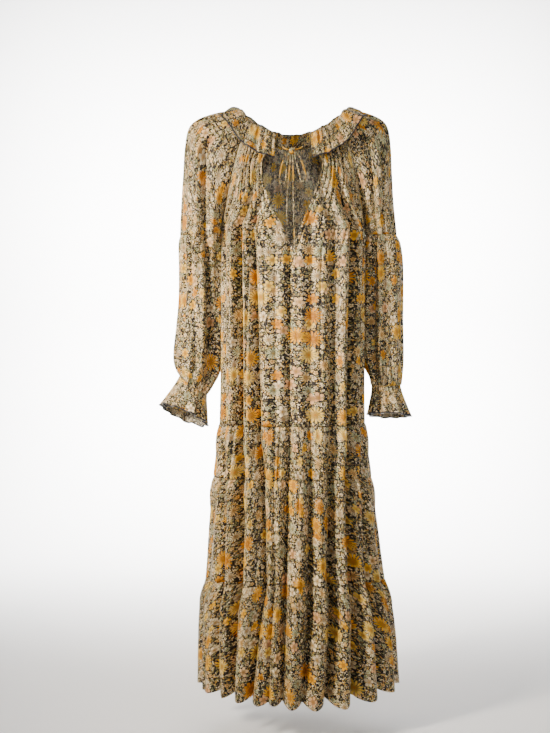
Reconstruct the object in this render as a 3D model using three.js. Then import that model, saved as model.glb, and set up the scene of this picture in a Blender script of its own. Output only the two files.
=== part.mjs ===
// A long sleeve maxi dress of thin printed cloth, hanging open and filled out with nobody in it.
// Units are millimetres, +Z is up and the front faces -Y.
// The origin is the middle of the shoulder line. Left and right are as seen from the front.
// Every cloth piece is a thin closed wall, and pieces stop a seam gap short of each other.

import * as THREE from "three";

// Driving sizes
const clothWall = 1.5;
const seamGap = 0.3;
const raglanGap = 0.5;
const waistHeight = -663;
const slitBottom = -285;
const frontNeckHeight = -45;
const backNeckHeight = -62;
const collarWidth = 64;

// Seams round the skirt: height at the sides, and how far the front hangs above the sides
const seams = {
  waist: { height: waistHeight, frontRise: 2 },
  second: { height: -783, frontRise: 10 },
  third: { height: -1010, frontRise: 12 },
  hem: { height: -1243, frontRise: 2 },
};

// Level sections of the body and skirt. left and right are half-widths, up to the sleeve seam
// above the armpit. crease is half the distance from the front sleeve seam to the back one.
// front and back are depths from the middle, and square is how boxy the section is.
const bodySections = [
  { z: 40, left: 70, right: 74, crease: 10, front: 24, back: 20, square: 2.4 },
  { z: -12, left: 92, right: 96, crease: 24, front: 42, back: 36, square: 2.4 },
  { z: -45, left: 107, right: 114, crease: 36, front: 52, back: 47, square: 2.5 },
  { z: -80, left: 119, right: 127, crease: 42, front: 60, back: 54, square: 2.6 },
  { z: -115, left: 128, right: 136, crease: 44, front: 65, back: 59, square: 2.6 },
  { z: -150, left: 136, right: 143, crease: 42, front: 69, back: 63, square: 2.6 },
  { z: -185, left: 144, right: 150, crease: 34, front: 72, back: 66, square: 2.5 },
  { z: -215, left: 149, right: 155, crease: 24, front: 75, back: 69, square: 2.4 },
  { z: -235, left: 151, right: 157, crease: 0, front: 77, back: 71, square: 2.4 },
  { z: -300, left: 151, right: 157, crease: 0, front: 81, back: 75, square: 2.4 },
  { z: -400, left: 151, right: 157, crease: 0, front: 85, back: 80, square: 2.3 },
  { z: -540, left: 153, right: 158, crease: 0, front: 90, back: 86, square: 2.2 },
  { z: -663, left: 157, right: 160, crease: 0, front: 96, back: 92, square: 2.1 },
  { z: -720, left: 161, right: 164, crease: 0, front: 101, back: 97, square: 2.1 },
  { z: -783, left: 168, right: 172, crease: 0, front: 106, back: 102, square: 2 },
  { z: -900, left: 176, right: 187, crease: 0, front: 116, back: 112, square: 2 },
  { z: -1010, left: 184, right: 201, crease: 0, front: 126, back: 122, square: 2 },
  { z: -1060, left: 196, right: 215, crease: 0, front: 132, back: 128, square: 2 },
  { z: -1130, left: 201, right: 224, crease: 0, front: 139, back: 135, square: 2 },
  { z: -1260, left: 204, right: 232, crease: 0, front: 148, back: 144, square: 2 },
];

// Hanging folds. Each is a soft valley that runs down the body and skirt.
// A place runs from -1 at the left side over 0 at the middle front to 1 at the right side,
// and on to 2 or -2 at the middle back. body and skirt are the depths of the valley.
const hangingFolds = [
  { chest: -0.81, waist: -0.77, second: -0.68, third: -0.62, hem: -0.6, body: 9, skirt: 15 },
  { chest: -0.52, waist: -0.51, second: -0.47, third: -0.45, hem: -0.46, body: 17, skirt: 17 },
  { chest: -0.36, waist: -0.31, second: -0.25, third: -0.22, hem: -0.31, body: 9, skirt: 13 },
  { chest: -0.16, waist: -0.15, second: -0.15, third: -0.14, hem: -0.175, body: 2, skirt: 10 },
  { chest: -0.03, waist: -0.03, second: -0.04, third: -0.06, hem: -0.075, body: 5, skirt: 14 },
  { chest: 0.16, waist: 0.15, second: 0.14, third: 0.12, hem: 0.06, body: 3, skirt: 13 },
  { chest: 0.35, waist: 0.36, second: 0.32, third: 0.28, hem: 0.215, body: 7, skirt: 16 },
  { chest: 0.58, waist: 0.56, second: 0.5, third: 0.45, hem: 0.405, body: 17, skirt: 15 },
  { chest: 0.77, waist: 0.72, second: 0.66, third: 0.62, hem: 0.64, body: 9, skirt: 17 },
  { chest: 1.05, waist: 1.0, second: 0.92, third: 0.86, hem: 0.88, body: 3, skirt: 13 },
  { chest: 1.24, waist: 1.22, second: 1.18, third: 1.13, hem: 1.11, body: 8, skirt: 16 },
  { chest: 1.46, waist: 1.43, second: 1.4, third: 1.37, hem: 1.33, body: 15, skirt: 15 },
  { chest: 1.66, waist: 1.62, second: 1.6, third: 1.58, hem: 1.55, body: 8, skirt: 12 },
  { chest: 1.83, waist: 1.8, second: 1.78, third: 1.76, hem: 1.74, body: 5, skirt: 15 },
  { chest: 2.02, waist: 2.0, second: 1.98, third: 1.97, hem: 1.96, body: 7, skirt: 12 },
  { chest: 2.22, waist: 2.2, second: 2.19, third: 2.18, hem: 2.18, body: 6, skirt: 16 },
  { chest: 2.42, waist: 2.4, second: 2.4, third: 2.4, hem: 2.4, body: 10, skirt: 14 },
  { chest: 2.62, waist: 2.61, second: 2.61, third: 2.62, hem: 2.63, body: 15, skirt: 17 },
  { chest: 2.8, waist: 2.82, second: 2.83, third: 2.86, hem: 2.87, body: 7, skirt: 13 },
  { chest: 2.98, waist: 3.0, second: 3.05, third: 3.1, hem: 3.12, body: 3, skirt: 14 },
];
const foldHeights = [
  { column: "chest", z: -300 },
  { column: "waist", z: -663 },
  { column: "second", z: -783 },
  { column: "third", z: -1010 },
  { column: "hem", z: -1243 },
];
const foldWidth = 0.062;

// Stations of the upper sleeve, from the neck to the sleeve seam. seam is the height of both
// sleeve seams there. The outer point is on the ridge of the shoulder and arm, and depth is
// half the thickness of the sleeve from front to back.
const sleeveStations = [
  { seam: -12, outerLeft: 104, outerRight: 106, outerHeight: 10, depth: 25.5 },
  { seam: -45, outerLeft: 141, outerRight: 140, outerHeight: 14, depth: 39 },
  { seam: -80, outerLeft: 178, outerRight: 170, outerHeight: 7, depth: 45 },
  { seam: -115, outerLeft: 207, outerRight: 194, outerHeight: -5, depth: 48 },
  { seam: -150, outerLeft: 224, outerRight: 207, outerHeight: -24, depth: 49 },
  { seam: -185, outerLeft: 232, outerRight: 213, outerHeight: -64, depth: 49 },
  { seam: -215, outerLeft: 236, outerRight: 216, outerHeight: -125, depth: 48 },
  { seam: -235, outerLeft: 240, outerRight: 220, outerHeight: -190, depth: 46 },
  { seam: -251, outerLeft: 243, outerRight: 227, outerHeight: -251, depth: 45 },
];

// Level or tilted rings of each lower sleeve. tilt lifts the outer side, in degrees.
const lowerSleeves = {
  left: [
    { z: -251, centre: 198.8, back: 0, width: 44.5, depth: 45, tilt: 0 },
    { z: -272, centre: 199.6, back: 4, width: 48, depth: 49, tilt: 0 },
    { z: -320, centre: 199.2, back: 22, width: 48.5, depth: 50, tilt: 0 },
    { z: -400, centre: 199.8, back: 28, width: 49.3, depth: 51, tilt: 0 },
    { z: -480, centre: 204.2, back: 28, width: 53.2, depth: 52, tilt: 2 },
    { z: -535, centre: 207.5, back: 20, width: 51.5, depth: 48, tilt: 10 },
    { z: -562, centre: 214, back: 7, width: 43, depth: 38, tilt: 22 },
    { z: -579, centre: 217, back: 0, width: 36, depth: 27, tilt: 34 },
  ],
  right: [
    { z: -251, centre: 194.2, back: 0, width: 33, depth: 45, tilt: 0 },
    { z: -272, centre: 196.8, back: 4, width: 39.3, depth: 50, tilt: 0 },
    { z: -320, centre: 199.4, back: 22, width: 42.9, depth: 52, tilt: 0 },
    { z: -400, centre: 200.1, back: 28, width: 43.9, depth: 53, tilt: 0 },
    { z: -480, centre: 200.8, back: 28, width: 43.6, depth: 53, tilt: 0 },
    { z: -535, centre: 203.5, back: 20, width: 41.5, depth: 48, tilt: 0 },
    { z: -562, centre: 207, back: 7, width: 34, depth: 38, tilt: 0 },
    { z: -579, centre: 207, back: 0, width: 31, depth: 26, tilt: 0 },
  ],
};

// Rings of each cuff ruffle, from the wrist to the edge. nod lowers the back rim, in degrees.
const cuffRings = {
  left: [
    { z: -579.3, centre: 217.2, back: 0, width: 36, depth: 27, tilt: 34, nod: 0 },
    { z: -612, centre: 227, back: -2, width: 44, depth: 36, tilt: 27, nod: 12 },
    { z: -645, centre: 237, back: -6, width: 53, depth: 43, tilt: 24, nod: 22 },
  ],
  right: [
    { z: -579.3, centre: 207, back: 0, width: 31, depth: 26, tilt: 0, nod: 0 },
    { z: -612, centre: 210, back: -1, width: 37, depth: 34, tilt: -1, nod: 7 },
    { z: -645, centre: 213, back: -3, width: 44, depth: 41, tilt: -2, nod: 14 },
  ],
};

// Soft valleys down a sleeve. Places are degrees round the sleeve from its outer side,
// over the front, at three heights.
const sleeveFolds = {
  left: [
    { shoulder: 58, elbow: 112, wrist: 128, depth: 9, spread: 17 },
    { shoulder: 24, elbow: 62, wrist: 84, depth: 4, spread: 13 },
    { shoulder: 18, elbow: 34, wrist: 44, depth: 3.5, spread: 12 },
    { shoulder: -46, elbow: -60, wrist: -74, depth: 7, spread: 16 },
    { shoulder: -84, elbow: -112, wrist: -124, depth: 6, spread: 16 },
  ],
  right: [
    { shoulder: 82, elbow: 128, wrist: 134, depth: 8, spread: 17 },
    { shoulder: 44, elbow: 84, wrist: 88, depth: 5, spread: 15 },
    { shoulder: 20, elbow: 40, wrist: 36, depth: 3, spread: 12 },
    { shoulder: -52, elbow: -64, wrist: -70, depth: 7, spread: 16 },
    { shoulder: -88, elbow: -118, wrist: -126, depth: 6, spread: 16 },
  ],
};

// Edges of the front slit: distance of each edge from the middle at a height
const slitEdges = [
  { z: -45, left: 35, right: 37 },
  { z: -72, left: 39, right: 40 },
  { z: -98, left: 55, right: 56 },
  { z: -128, left: 59, right: 61 },
  { z: -172, left: 52, right: 44 },
  { z: -216, left: 31, right: 25 },
  { z: -260, left: 11, right: 9 },
  { z: slitBottom, left: 0, right: 0 },
];
const shoulderSeamHeight = sleeveStations[0].seam;

// Smooth reading of one column of a table at a height
function readTable(table, column, at, key = "z") {
  const last = table.length - 1;
  const descending = table[0][key] > table[last][key];
  const sign = descending ? -1 : 1;
  const target = sign * at;
  if (target <= sign * table[0][key]) {
    return table[0][column];
  }
  if (target >= sign * table[last][key]) {
    return table[last][column];
  }
  let row = 0;
  while (sign * table[row + 1][key] < target) {
    row += 1;
  }
  const slopeAt = (index) => {
    const before = table[Math.max(index - 1, 0)];
    const after = table[Math.min(index + 1, last)];
    return (after[column] - before[column]) / (after[key] - before[key]);
  };
  const start = table[row];
  const end = table[row + 1];
  const span = end[key] - start[key];
  const t = (at - start[key]) / span;
  const t2 = t * t;
  const t3 = t2 * t;
  return (
    (2 * t3 - 3 * t2 + 1) * start[column] +
    (t3 - 2 * t2 + t) * span * slopeAt(row) +
    (3 * t2 - 2 * t3) * end[column] +
    (t3 - t2) * span * slopeAt(row + 1)
  );
}

const mix = (from, to, share) => from + (to - from) * share;
const radians = THREE.MathUtils.degToRad;

// A soft change from 0 at the value from to 1 at the value to
function ramp(from, to, at) {
  const share = THREE.MathUtils.clamp((at - from) / (to - from), 0, 1);
  return share * share * (3 - 2 * share);
}

// Height of a skirt seam at a place round the skirt
function seamLine(seam, place) {
  return seam.height + seam.frontRise * Math.cos((place * Math.PI) / 2);
}

// Depth of the hanging folds at a place and a height
function foldDepth(place, z) {
  const skirtShare = ramp(-560, -1100, z);
  let row = 0;
  while (row < foldHeights.length - 2 && z < foldHeights[row + 1].z) {
    row += 1;
  }
  const above = foldHeights[row];
  const below = foldHeights[row + 1];
  const share = THREE.MathUtils.clamp((z - above.z) / (below.z - above.z), 0, 1);
  let depth = 0;
  for (const fold of hangingFolds) {
    const centre = mix(fold[above.column], fold[below.column], share);
    const distance = place - centre;
    const nearest = distance - 4 * Math.round(distance / 4);
    depth += mix(fold.body, fold.skirt, skirtShare) * Math.exp(-((nearest / foldWidth) ** 2));
  }
  return depth;
}

// A point of the body or skirt. face is 1 at the front and -1 at the back, and across runs
// from -1 at the left seam to 1 at the right seam. swell moves the point out of the cloth.
function bodyPoint(face, across, z, swell = 0) {
  const half = across < 0 ? "left" : "right";
  const reach = readTable(bodySections, half, z);
  const crease = Math.max(readTable(bodySections, "crease", z), 0);
  const depth = readTable(bodySections, face > 0 ? "front" : "back", z);
  const square = readTable(bodySections, "square", z);
  const openWidth = reach / (1 - (crease / depth) ** square) ** (1 / square);
  const turn = across * Math.atan2(reach / openWidth, crease / depth);
  const fit = (Math.abs(Math.sin(turn)) ** square + Math.abs(Math.cos(turn)) ** square) ** (-1 / square);
  const x = openWidth * Math.sin(turn) * fit;
  const y = -face * depth * Math.cos(turn) * fit;
  const outward = new THREE.Vector2(x / openWidth ** 2, y / depth ** 2).normalize();
  const place = face > 0 ? across : 2 * Math.sign(across || 1) - across;
  const seamFade = crease > 0 ? 1 - Math.abs(across) ** 6 : 1;
  const chestFade = ramp(-60, -330, z);
  const move = swell - foldDepth(place, z) * chestFade * THREE.MathUtils.clamp(seamFade, 0, 1);
  return new THREE.Vector3(x + outward.x * move, y + outward.y * move, z);
}

// The share across at which the body has a given x
function acrossAt(face, x, z) {
  let low = -1;
  let high = 1;
  for (let step = 0; step < 26; step += 1) {
    const middle = (low + high) / 2;
    if (bodyPoint(face, middle, z).x < x) {
      low = middle;
    } else {
      high = middle;
    }
  }
  return (low + high) / 2;
}

// Collects the outer points of one piece, and closes them into a wall of even thickness
class ClothPiece {
  constructor() {
    this.points = [];
    this.normals = [];
    this.quads = [];
    this.places = new Map();
  }

  addPoint(point, normal) {
    const key = [point.x, point.y, point.z].map((value) => value.toFixed(2)).join();
    if (!this.places.has(key)) {
      this.places.set(key, this.points.length);
      this.points.push(point);
      this.normals.push(new THREE.Vector3());
    }
    const index = this.places.get(key);
    this.normals[index].add(normal);
    return index;
  }

  // Adds a grid. pointAt takes a column and a row, whole or not. facing is 1 or -1.
  // level keeps the wall's thickness level, and squareAt says where it lies straight along X.
  addGrid(columns, rows, pointAt, facing, options = {}) {
    const { closed = false, level = false, past = false, squareAt = () => false } = options;
    const step = 0.5;
    const limit = (value, most) => (past ? value : THREE.MathUtils.clamp(value, 0, most));
    const grid = [];
    for (let row = 0; row <= rows; row += 1) {
      const line = [];
      for (let column = 0; column < (closed ? columns : columns + 1); column += 1) {
        const before = closed ? column - step : limit(column - step, columns);
        const after = closed ? column + step : limit(column + step, columns);
        const along = pointAt(after, row).sub(pointAt(before, row));
        const lower = pointAt(column, Math.min(row + step, rows));
        const down = lower.sub(pointAt(column, Math.max(row - step, 0)));
        const normal = down.cross(along).multiplyScalar(facing);
        if (level) {
          normal.z = 0;
        }
        if (squareAt(column, row)) {
          normal.y = 0;
        }
        line.push(this.addPoint(pointAt(column, row), normal.normalize()));
      }
      grid.push(line);
    }
    for (let row = 0; row < rows; row += 1) {
      for (let column = 0; column < columns; column += 1) {
        const next = (column + 1) % grid[row].length;
        const [first, lower] = [grid[row], grid[row + 1]];
        const [start, low, far, side] = [first[column], lower[column], lower[next], first[next]];
        this.quads.push(facing > 0 ? [start, low, far, side] : [start, side, far, low]);
      }
    }
  }

  build(name, material) {
    const count = this.points.length;
    const positions = [];
    for (const point of this.points) {
      positions.push(point.x, point.y, point.z);
    }
    this.points.forEach((point, index) => {
      const inner = point.clone().addScaledVector(this.normals[index].normalize(), -clothWall);
      positions.push(inner.x, inner.y, inner.z);
    });
    const triangles = [];
    const edges = new Map();
    for (const [a, b, c, d] of this.quads) {
      triangles.push(a, b, c, a, c, d);
      triangles.push(count + a, count + c, count + b, count + a, count + d, count + c);
      for (const [from, to] of [[a, b], [b, c], [c, d], [d, a]]) {
        edges.set(`${from}_${to}`, [from, to]);
      }
    }
    for (const [from, to] of edges.values()) {
      if (!edges.has(`${to}_${from}`)) {
        triangles.push(to, from, count + from, to, count + from, count + to);
      }
    }
    const geometry = new THREE.BufferGeometry();
    geometry.setAttribute("position", new THREE.Float32BufferAttribute(positions, 3));
    geometry.setIndex(triangles);
    geometry.computeVertexNormals();
    const mesh = new THREE.Mesh(geometry, material);
    mesh.name = name;
    return mesh;
  }
}

const printedCloth = new THREE.MeshStandardMaterial({ color: 0x6b5a3c, roughness: 0.7, metalness: 0 });
const collarCloth = new THREE.MeshStandardMaterial({ color: 0x7a6846, roughness: 0.7, metalness: 0 });
const tieCloth = new THREE.MeshStandardMaterial({ color: 0xb9a98a, roughness: 0.7, metalness: 0 });

// Skirt tiers. gathers is the number on each of the front and back, and rows are shares of
// the way down from the seam.
const tiers = [
  { name: "tier_1", top: seams.waist, bottom: seams.second, gathers: 14, rows: [0, 0.2, 0.55, 1] },
  { name: "tier_2", top: seams.second, bottom: seams.third, gathers: 18, rows: [0, 0.12, 0.45, 1] },
  { name: "tier_3", top: seams.third, bottom: seams.hem, gathers: 22, rows: [0, 0.12, 0.5, 1] },
];
const columnsPerGather = 4;
const gatherHeight = 1.7;
const gatherFade = 45;
const gatherPuff = 4;

// How far the gathers under a seam lift the cloth
function gatherLift(waves, share, drop) {
  const fade = Math.exp(-drop / gatherFade);
  const wave = Math.cos(share * waves * 2 * Math.PI);
  const puff = gatherPuff * Math.sin(Math.PI * Math.min(drop / 70, 1));
  return gatherHeight * wave * fade + puff;
}

// Reads a list of values at a place between its items
function readList(list, at) {
  const low = THREE.MathUtils.clamp(Math.floor(at), 0, list.length - 2);
  return mix(list[low], list[low + 1], at - low);
}

function makeTier(tier, face) {
  const columns = tier.gathers * columnsPerGather;
  const edge = seamGap / 2;
  const pointAt = (column, row) => {
    const share = column / columns;
    const across = -1 + 2 * share;
    const place = face > 0 ? across : 2 * Math.sign(across || 1) - across;
    const top = seamLine(tier.top, place) - edge;
    const lift = tier.bottom === seams.hem ? foldDepth(place, tier.bottom.height) * 0.4 : edge;
    const bottom = seamLine(tier.bottom, place) + lift;
    const z = mix(top, bottom, readList(tier.rows, row));
    const point = bodyPoint(face, across, z, gatherLift(tier.gathers, share, top - z));
    const side = Math.max(Math.abs(across) - 0.9, 0) * 10;
    point.y += -face * edge * Math.min(side, 1);
    return point;
  };
  const piece = new ClothPiece();
  piece.addGrid(columns, tier.rows.length - 1, pointAt, face, { level: true, past: true });
  const side = face > 0 ? "front" : "back";
  return piece.build(`${tier.name}_${side}`, printedCloth);
}

// The body panels. Columns start on the sleeve seams and on the neck, and run to the waist.
const creaseColumns = sleeveStations.length - 2;
const neckColumns = { front: 12, back: 12 };
const creaseShare = 0.45;
const columnSpread = 6;
const waistFront = waistHeight + seamGap / 2 + seams.waist.frontRise;
const slitShare = (frontNeckHeight - slitBottom) / (frontNeckHeight - waistFront);
const bodyRows = [0, 0.06, 0.13, 0.21, 0.3, slitShare, 0.62, 1];
const neckGatherHeight = 1.6;
const neckGatherFade = 90;

// Height of the armhole seam at a column, counted from the armpit up to the neck
function creaseHeight(column) {
  const seamHeights = sleeveStations.map((station) => station.seam);
  return readList(seamHeights, creaseColumns - column);
}

// The top edge of a body panel at a column, and how far along the neck it is
function bodyTop(face, column) {
  if (column <= creaseColumns) {
    return { height: creaseHeight(column), neck: 0 };
  }
  const neck = (column - creaseColumns) / neckColumnCount(face);
  const low = face > 0 ? frontNeckHeight : backNeckHeight;
  const curve = face > 0 ? neck ** 0.85 : Math.sin((neck * Math.PI) / 2) ** 1.2;
  return { height: mix(shoulderSeamHeight, low, curve), neck };
}

function neckColumnCount(face) {
  return face > 0 ? neckColumns.front : neckColumns.back;
}

// The inner edge of a body half, as a share across: the slit at the front, or the middle
function innerEdge(face, side, z) {
  if (face < 0 || z <= slitBottom) {
    return 0;
  }
  const x = side * readTable(slitEdges, side < 0 ? "left" : "right", z);
  return Math.abs(acrossAt(face, x, z));
}

// One half of a body panel, from its side to the middle. side is -1 left and 1 right.
function bodyHalf(face, side) {
  const neckCount = neckColumnCount(face);
  const columns = creaseColumns + neckCount;
  const pointAt = (column, row) => {
    const top = bodyTop(face, column);
    const down = readList(bodyRows, row);
    const past = Math.max(column - creaseColumns, 0) / neckCount;
    const below = Math.min(column / creaseColumns, 1) ** 0.7 * creaseShare + past * (1 - creaseShare);
    const share = mix(top.neck, below, 1 - (1 - down) ** columnSpread);
    const place = side * (1 - share);
    const foot = seamLine(seams.waist, face > 0 ? place : 2 * side - place) + seamGap / 2;
    const z = mix(top.height, foot, down);
    const fade = Math.exp(-(top.height - z) / neckGatherFade) * Math.min(top.neck * 4, 1);
    const wave = Math.cos((column - creaseColumns) * Math.PI);
    const across = side * mix(1, innerEdge(face, side, z), share);
    const point = bodyPoint(face, across, z, neckGatherHeight * wave * fade);
    const seam = column <= creaseColumns ? Math.exp(-60 * down) : 0;
    const edge = Math.max(1 - column, 0);
    point.y -= face * (seamGap / 2) * Math.max(edge, seam);
    point.x -= side * (raglanGap / 2) * seam;
    return point;
  };
  return { columns, pointAt };
}

function makeBody(face) {
  const piece = new ClothPiece();
  for (const side of [-1, 1]) {
    const { columns, pointAt } = bodyHalf(face, side);
    const squareAt = (column) => column === 0;
    piece.addGrid(columns, bodyRows.length - 1, pointAt, -side * face, { squareAt });
  }
  return piece.build(face > 0 ? "body_front" : "body_back", printedCloth);
}

// A station of the upper sleeve, read between the rows of the table
function stationAt(side, index) {
  const rows = sleeveStations.map((station, place) => ({ ...station, place }));
  const read = (column) => readTable(rows, column, index, "place");
  const seam = read("seam");
  const underarm = Math.max(index - creaseColumns, 0) * underarmGap;
  return {
    seam,
    inner: readTable(bodySections, side < 0 ? "left" : "right", seam) + underarm,
    crease: Math.max(readTable(bodySections, "crease", seam), 0),
    outer: read(side < 0 ? "outerLeft" : "outerRight"),
    outerHeight: read("outerHeight"),
    depth: read("depth"),
  };
}

// Depth of the soft sleeve folds at an angle in degrees round the sleeve, and a height
function sleeveFoldDepth(side, angle, z) {
  const folds = side < 0 ? sleeveFolds.left : sleeveFolds.right;
  const toElbow = ramp(-60, -300, z);
  const toWrist = ramp(-300, -560, z);
  const strength = ramp(-20, -160, z) * (1 - 0.8 * ramp(-530, -580, z));
  let depth = 0;
  for (const fold of folds) {
    const centre = mix(mix(fold.shoulder, fold.elbow, toElbow), fold.wrist, toWrist);
    depth += fold.depth * strength * Math.exp(-(((angle - centre) / fold.spread) ** 2));
  }
  return depth;
}

// The upper sleeve is an open shell from one raglan seam to the other, and its last row closes
// under the arm.
const sleeveColumns = 18;
const underarmGap = 2.6;

function upperSleevePoint(side, column, row) {
  const station = stationAt(side, row);
  const from = new THREE.Vector3(side * station.inner, 0, station.seam);
  const ridge = new THREE.Vector3(side * station.outer, 0, station.outerHeight);
  const length = from.distanceTo(ridge);
  const outward = ridge.clone().sub(from).normalize();
  const flat = Math.sqrt(Math.max(1 - (station.crease / station.depth) ** 2, 0));
  const width = length / (1 + flat);
  const turnMost = Math.acos(-flat);
  const turn = turnMost * (1 - (2 * column) / sleeveColumns);
  const edgeFade = 1 - Math.abs(turn / turnMost) ** 6;
  const degreesRound = THREE.MathUtils.radToDeg(turn);
  const depth = sleeveFoldDepth(side, degreesRound, station.seam) * edgeFade;
  const point = ridge.clone().addScaledVector(outward, -width);
  point.addScaledVector(outward, (width - depth) * Math.cos(turn));
  point.y -= (station.depth - depth) * Math.sin(turn);
  const atEdge = Math.max(Math.abs(column - sleeveColumns / 2) - sleeveColumns / 2 + 1, 0);
  point.x += side * (raglanGap / 2) * atEdge;
  const front = column < sleeveColumns / 2 ? 1 : -1;
  point.y -= front * (seamGap / 2) * atEdge * ramp(creaseColumns - 1, creaseColumns, row);
  return point;
}

function makeUpperSleeve(side) {
  const piece = new ClothPiece();
  const rows = sleeveStations.length - 1;
  const squareAt = (column, row) => row >= creaseColumns && column === 0;
  const fromFront = (column, row) => upperSleevePoint(side, column, row);
  const fromBack = (column, row) => upperSleevePoint(side, sleeveColumns - column, row);
  piece.addGrid(sleeveColumns / 2, rows, fromFront, side, { squareAt });
  piece.addGrid(sleeveColumns / 2, rows, fromBack, -side, { squareAt });
  return piece.build(side < 0 ? "sleeve_upper_left" : "sleeve_upper_right", printedCloth);
}

// A point on a tilted ring of a lower sleeve or cuff, at a turn from its outer side over the front
function ringPoint(side, ring, turn, lift) {
  const tilt = radians(ring.tilt);
  const nod = radians(ring.nod ?? 0);
  const outward = new THREE.Vector3(side * Math.cos(tilt), 0, Math.sin(tilt));
  const along = new THREE.Vector3(side * Math.sin(tilt), 0, -Math.cos(tilt));
  const backward = new THREE.Vector3(0, Math.cos(nod), 0).addScaledVector(along, Math.sin(nod));
  const point = new THREE.Vector3(side * ring.centre, ring.back, ring.z);
  point.addScaledVector(outward, (ring.width + lift) * Math.cos(turn));
  return point.addScaledVector(backward, -(ring.depth + lift) * Math.sin(turn));
}

// Reads every column of a list of rings between its rows
function readRings(rings, index) {
  const rows = rings.map((ring, place) => ({ ...ring, place }));
  const ring = {};
  for (const column of Object.keys(rings[0])) {
    ring[column] = readTable(rows, column, index, "place");
  }
  return ring;
}

const tubeColumns = 32;
const sleeveGathers = 16;
const sleeveGatherHeight = 1.5;
const sleeveGatherFade = 28;

function makeLowerSleeve(side) {
  const rings = side < 0 ? lowerSleeves.left : lowerSleeves.right;
  const last = rings.length - 1;
  const pointAt = (column, row) => {
    const turn = (2 * Math.PI * column) / tubeColumns;
    const ring = readRings(rings, row);
    ring.z -= row === 0 ? seamGap : 0;
    const degreesRound = THREE.MathUtils.radToDeg(turn > Math.PI ? turn - 2 * Math.PI : turn);
    const fade = Math.exp((ring.z - rings[0].z) / sleeveGatherFade);
    const wristFade = Math.exp((rings[last].z - ring.z) / sleeveGatherFade);
    const wave = Math.cos(sleeveGathers * turn) * sleeveGatherHeight * (fade + wristFade);
    return ringPoint(side, ring, turn, wave - sleeveFoldDepth(side, degreesRound, ring.z));
  };
  const piece = new ClothPiece();
  piece.addGrid(tubeColumns, last, pointAt, -side, { closed: true });
  return piece.build(side < 0 ? "sleeve_lower_left" : "sleeve_lower_right", printedCloth);
}

const cuffColumns = 40;
const cuffWaves = 10;
const cuffWaveHeight = 5.5;
const cuffRows = [0, 0.6, 1.3, 2];

function makeCuff(side) {
  const rings = side < 0 ? cuffRings.left : cuffRings.right;
  const pointAt = (column, row) => {
    const turn = (2 * Math.PI * column) / cuffColumns;
    const index = readList(cuffRows, row);
    const ring = readRings(rings, index);
    const rise = index / cuffRows[cuffRows.length - 1];
    const wave = Math.cos(cuffWaves * turn + 0.4 * Math.sin(turn)) * cuffWaveHeight * rise ** 1.3;
    return ringPoint(side, ring, turn, wave);
  };
  const piece = new ClothPiece();
  piece.addGrid(cuffColumns, cuffRows.length - 1, pointAt, -side, { closed: true });
  return piece.build(side < 0 ? "cuff_ruffle_left" : "cuff_ruffle_right", collarCloth);
}

// The neck edge, from the left end of the slit round the back to its right end
function neckEdge() {
  const points = [];
  for (const side of [-1, 1]) {
    const line = [];
    const front = bodyHalf(1, side);
    for (let column = front.columns; column > creaseColumns; column -= 1) {
      line.push(front.pointAt(column, 0));
    }
    for (let column = 0; column <= sleeveColumns; column += 2) {
      line.push(upperSleevePoint(side, column, 0));
    }
    const back = bodyHalf(-1, side);
    for (let column = creaseColumns + 1; column <= back.columns; column += 1) {
      line.push(back.pointAt(column, 0));
    }
    if (side < 0) {
      points.push(...line);
    } else {
      points.push(...line.reverse().slice(1));
    }
  }
  return points;
}

// The collar is one ruffled strip. It stands at the back and rolls over at the shoulders and front.
const collarRows = [0, 0.13, 0.3, 0.52, 0.76, 1];
const collarRoll = { start: 4, end: 25 };
const collarShoulderDrop = 5;
const collarStand = 6;
const collarLift = 0.5;
const collarFall = { back: 30, shoulder: 101, front: 163 };
const collarTrim = { end: 0.12, front: -0.1, back: 0.32 };
const collarWaves = 17;
const collarWaveHeight = 3;

function makeCollar() {
  const edge = neckEdge();
  const last = edge.length - 1;
  const pointAt = (column, row) => {
    const low = Math.min(Math.floor(column), last - 1);
    const base = edge[low].clone().lerp(edge[low + 1], column - low);
    const outward = new THREE.Vector3(base.x / 110 ** 2, base.y / 52 ** 2, 0).normalize();
    const toFront = Math.max(-outward.y, 0) ** 3;
    const toBack = Math.max(outward.y, 0) ** 1.6;
    const atShoulder = collarFall.shoulder + collarShoulderDrop * outward.x ** 4;
    const turned = atShoulder * (1 - toFront - toBack);
    const fall = radians(turned + collarFall.front * toFront + collarFall.back * toBack);
    const fromEnd = Math.min(column, last - column);
    const trim = collarTrim.front * toFront + collarTrim.back * toBack;
    const width = collarWidth * (1 - collarTrim.end * Math.exp(-fromEnd / 3) - trim);
    const share = readList(collarRows, row);
    const steps = 24;
    const point = base.clone();
    point.z += collarLift;
    for (let step = 0; step < steps; step += 1) {
      const run = (share * width * (step + 0.5)) / steps;
      const rollEnd = mix(collarRoll.end, 18, toFront);
      const lean = mix(radians(collarStand), fall, ramp(collarRoll.start, rollEnd, run));
      point.addScaledVector(outward, (Math.sin(lean) * share * width) / steps);
      point.z += (Math.cos(lean) * share * width) / steps;
    }
    const wave = Math.cos((column / last) * collarWaves * 2 * Math.PI) * collarWaveHeight * share ** 1.5;
    point.addScaledVector(outward, wave * Math.cos(fall));
    point.z += -wave * Math.sin(fall);
    return point;
  };
  const piece = new ClothPiece();
  piece.addGrid(last, collarRows.length - 1, pointAt, 1);
  return piece.build("collar_ruffle", collarCloth);
}

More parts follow.
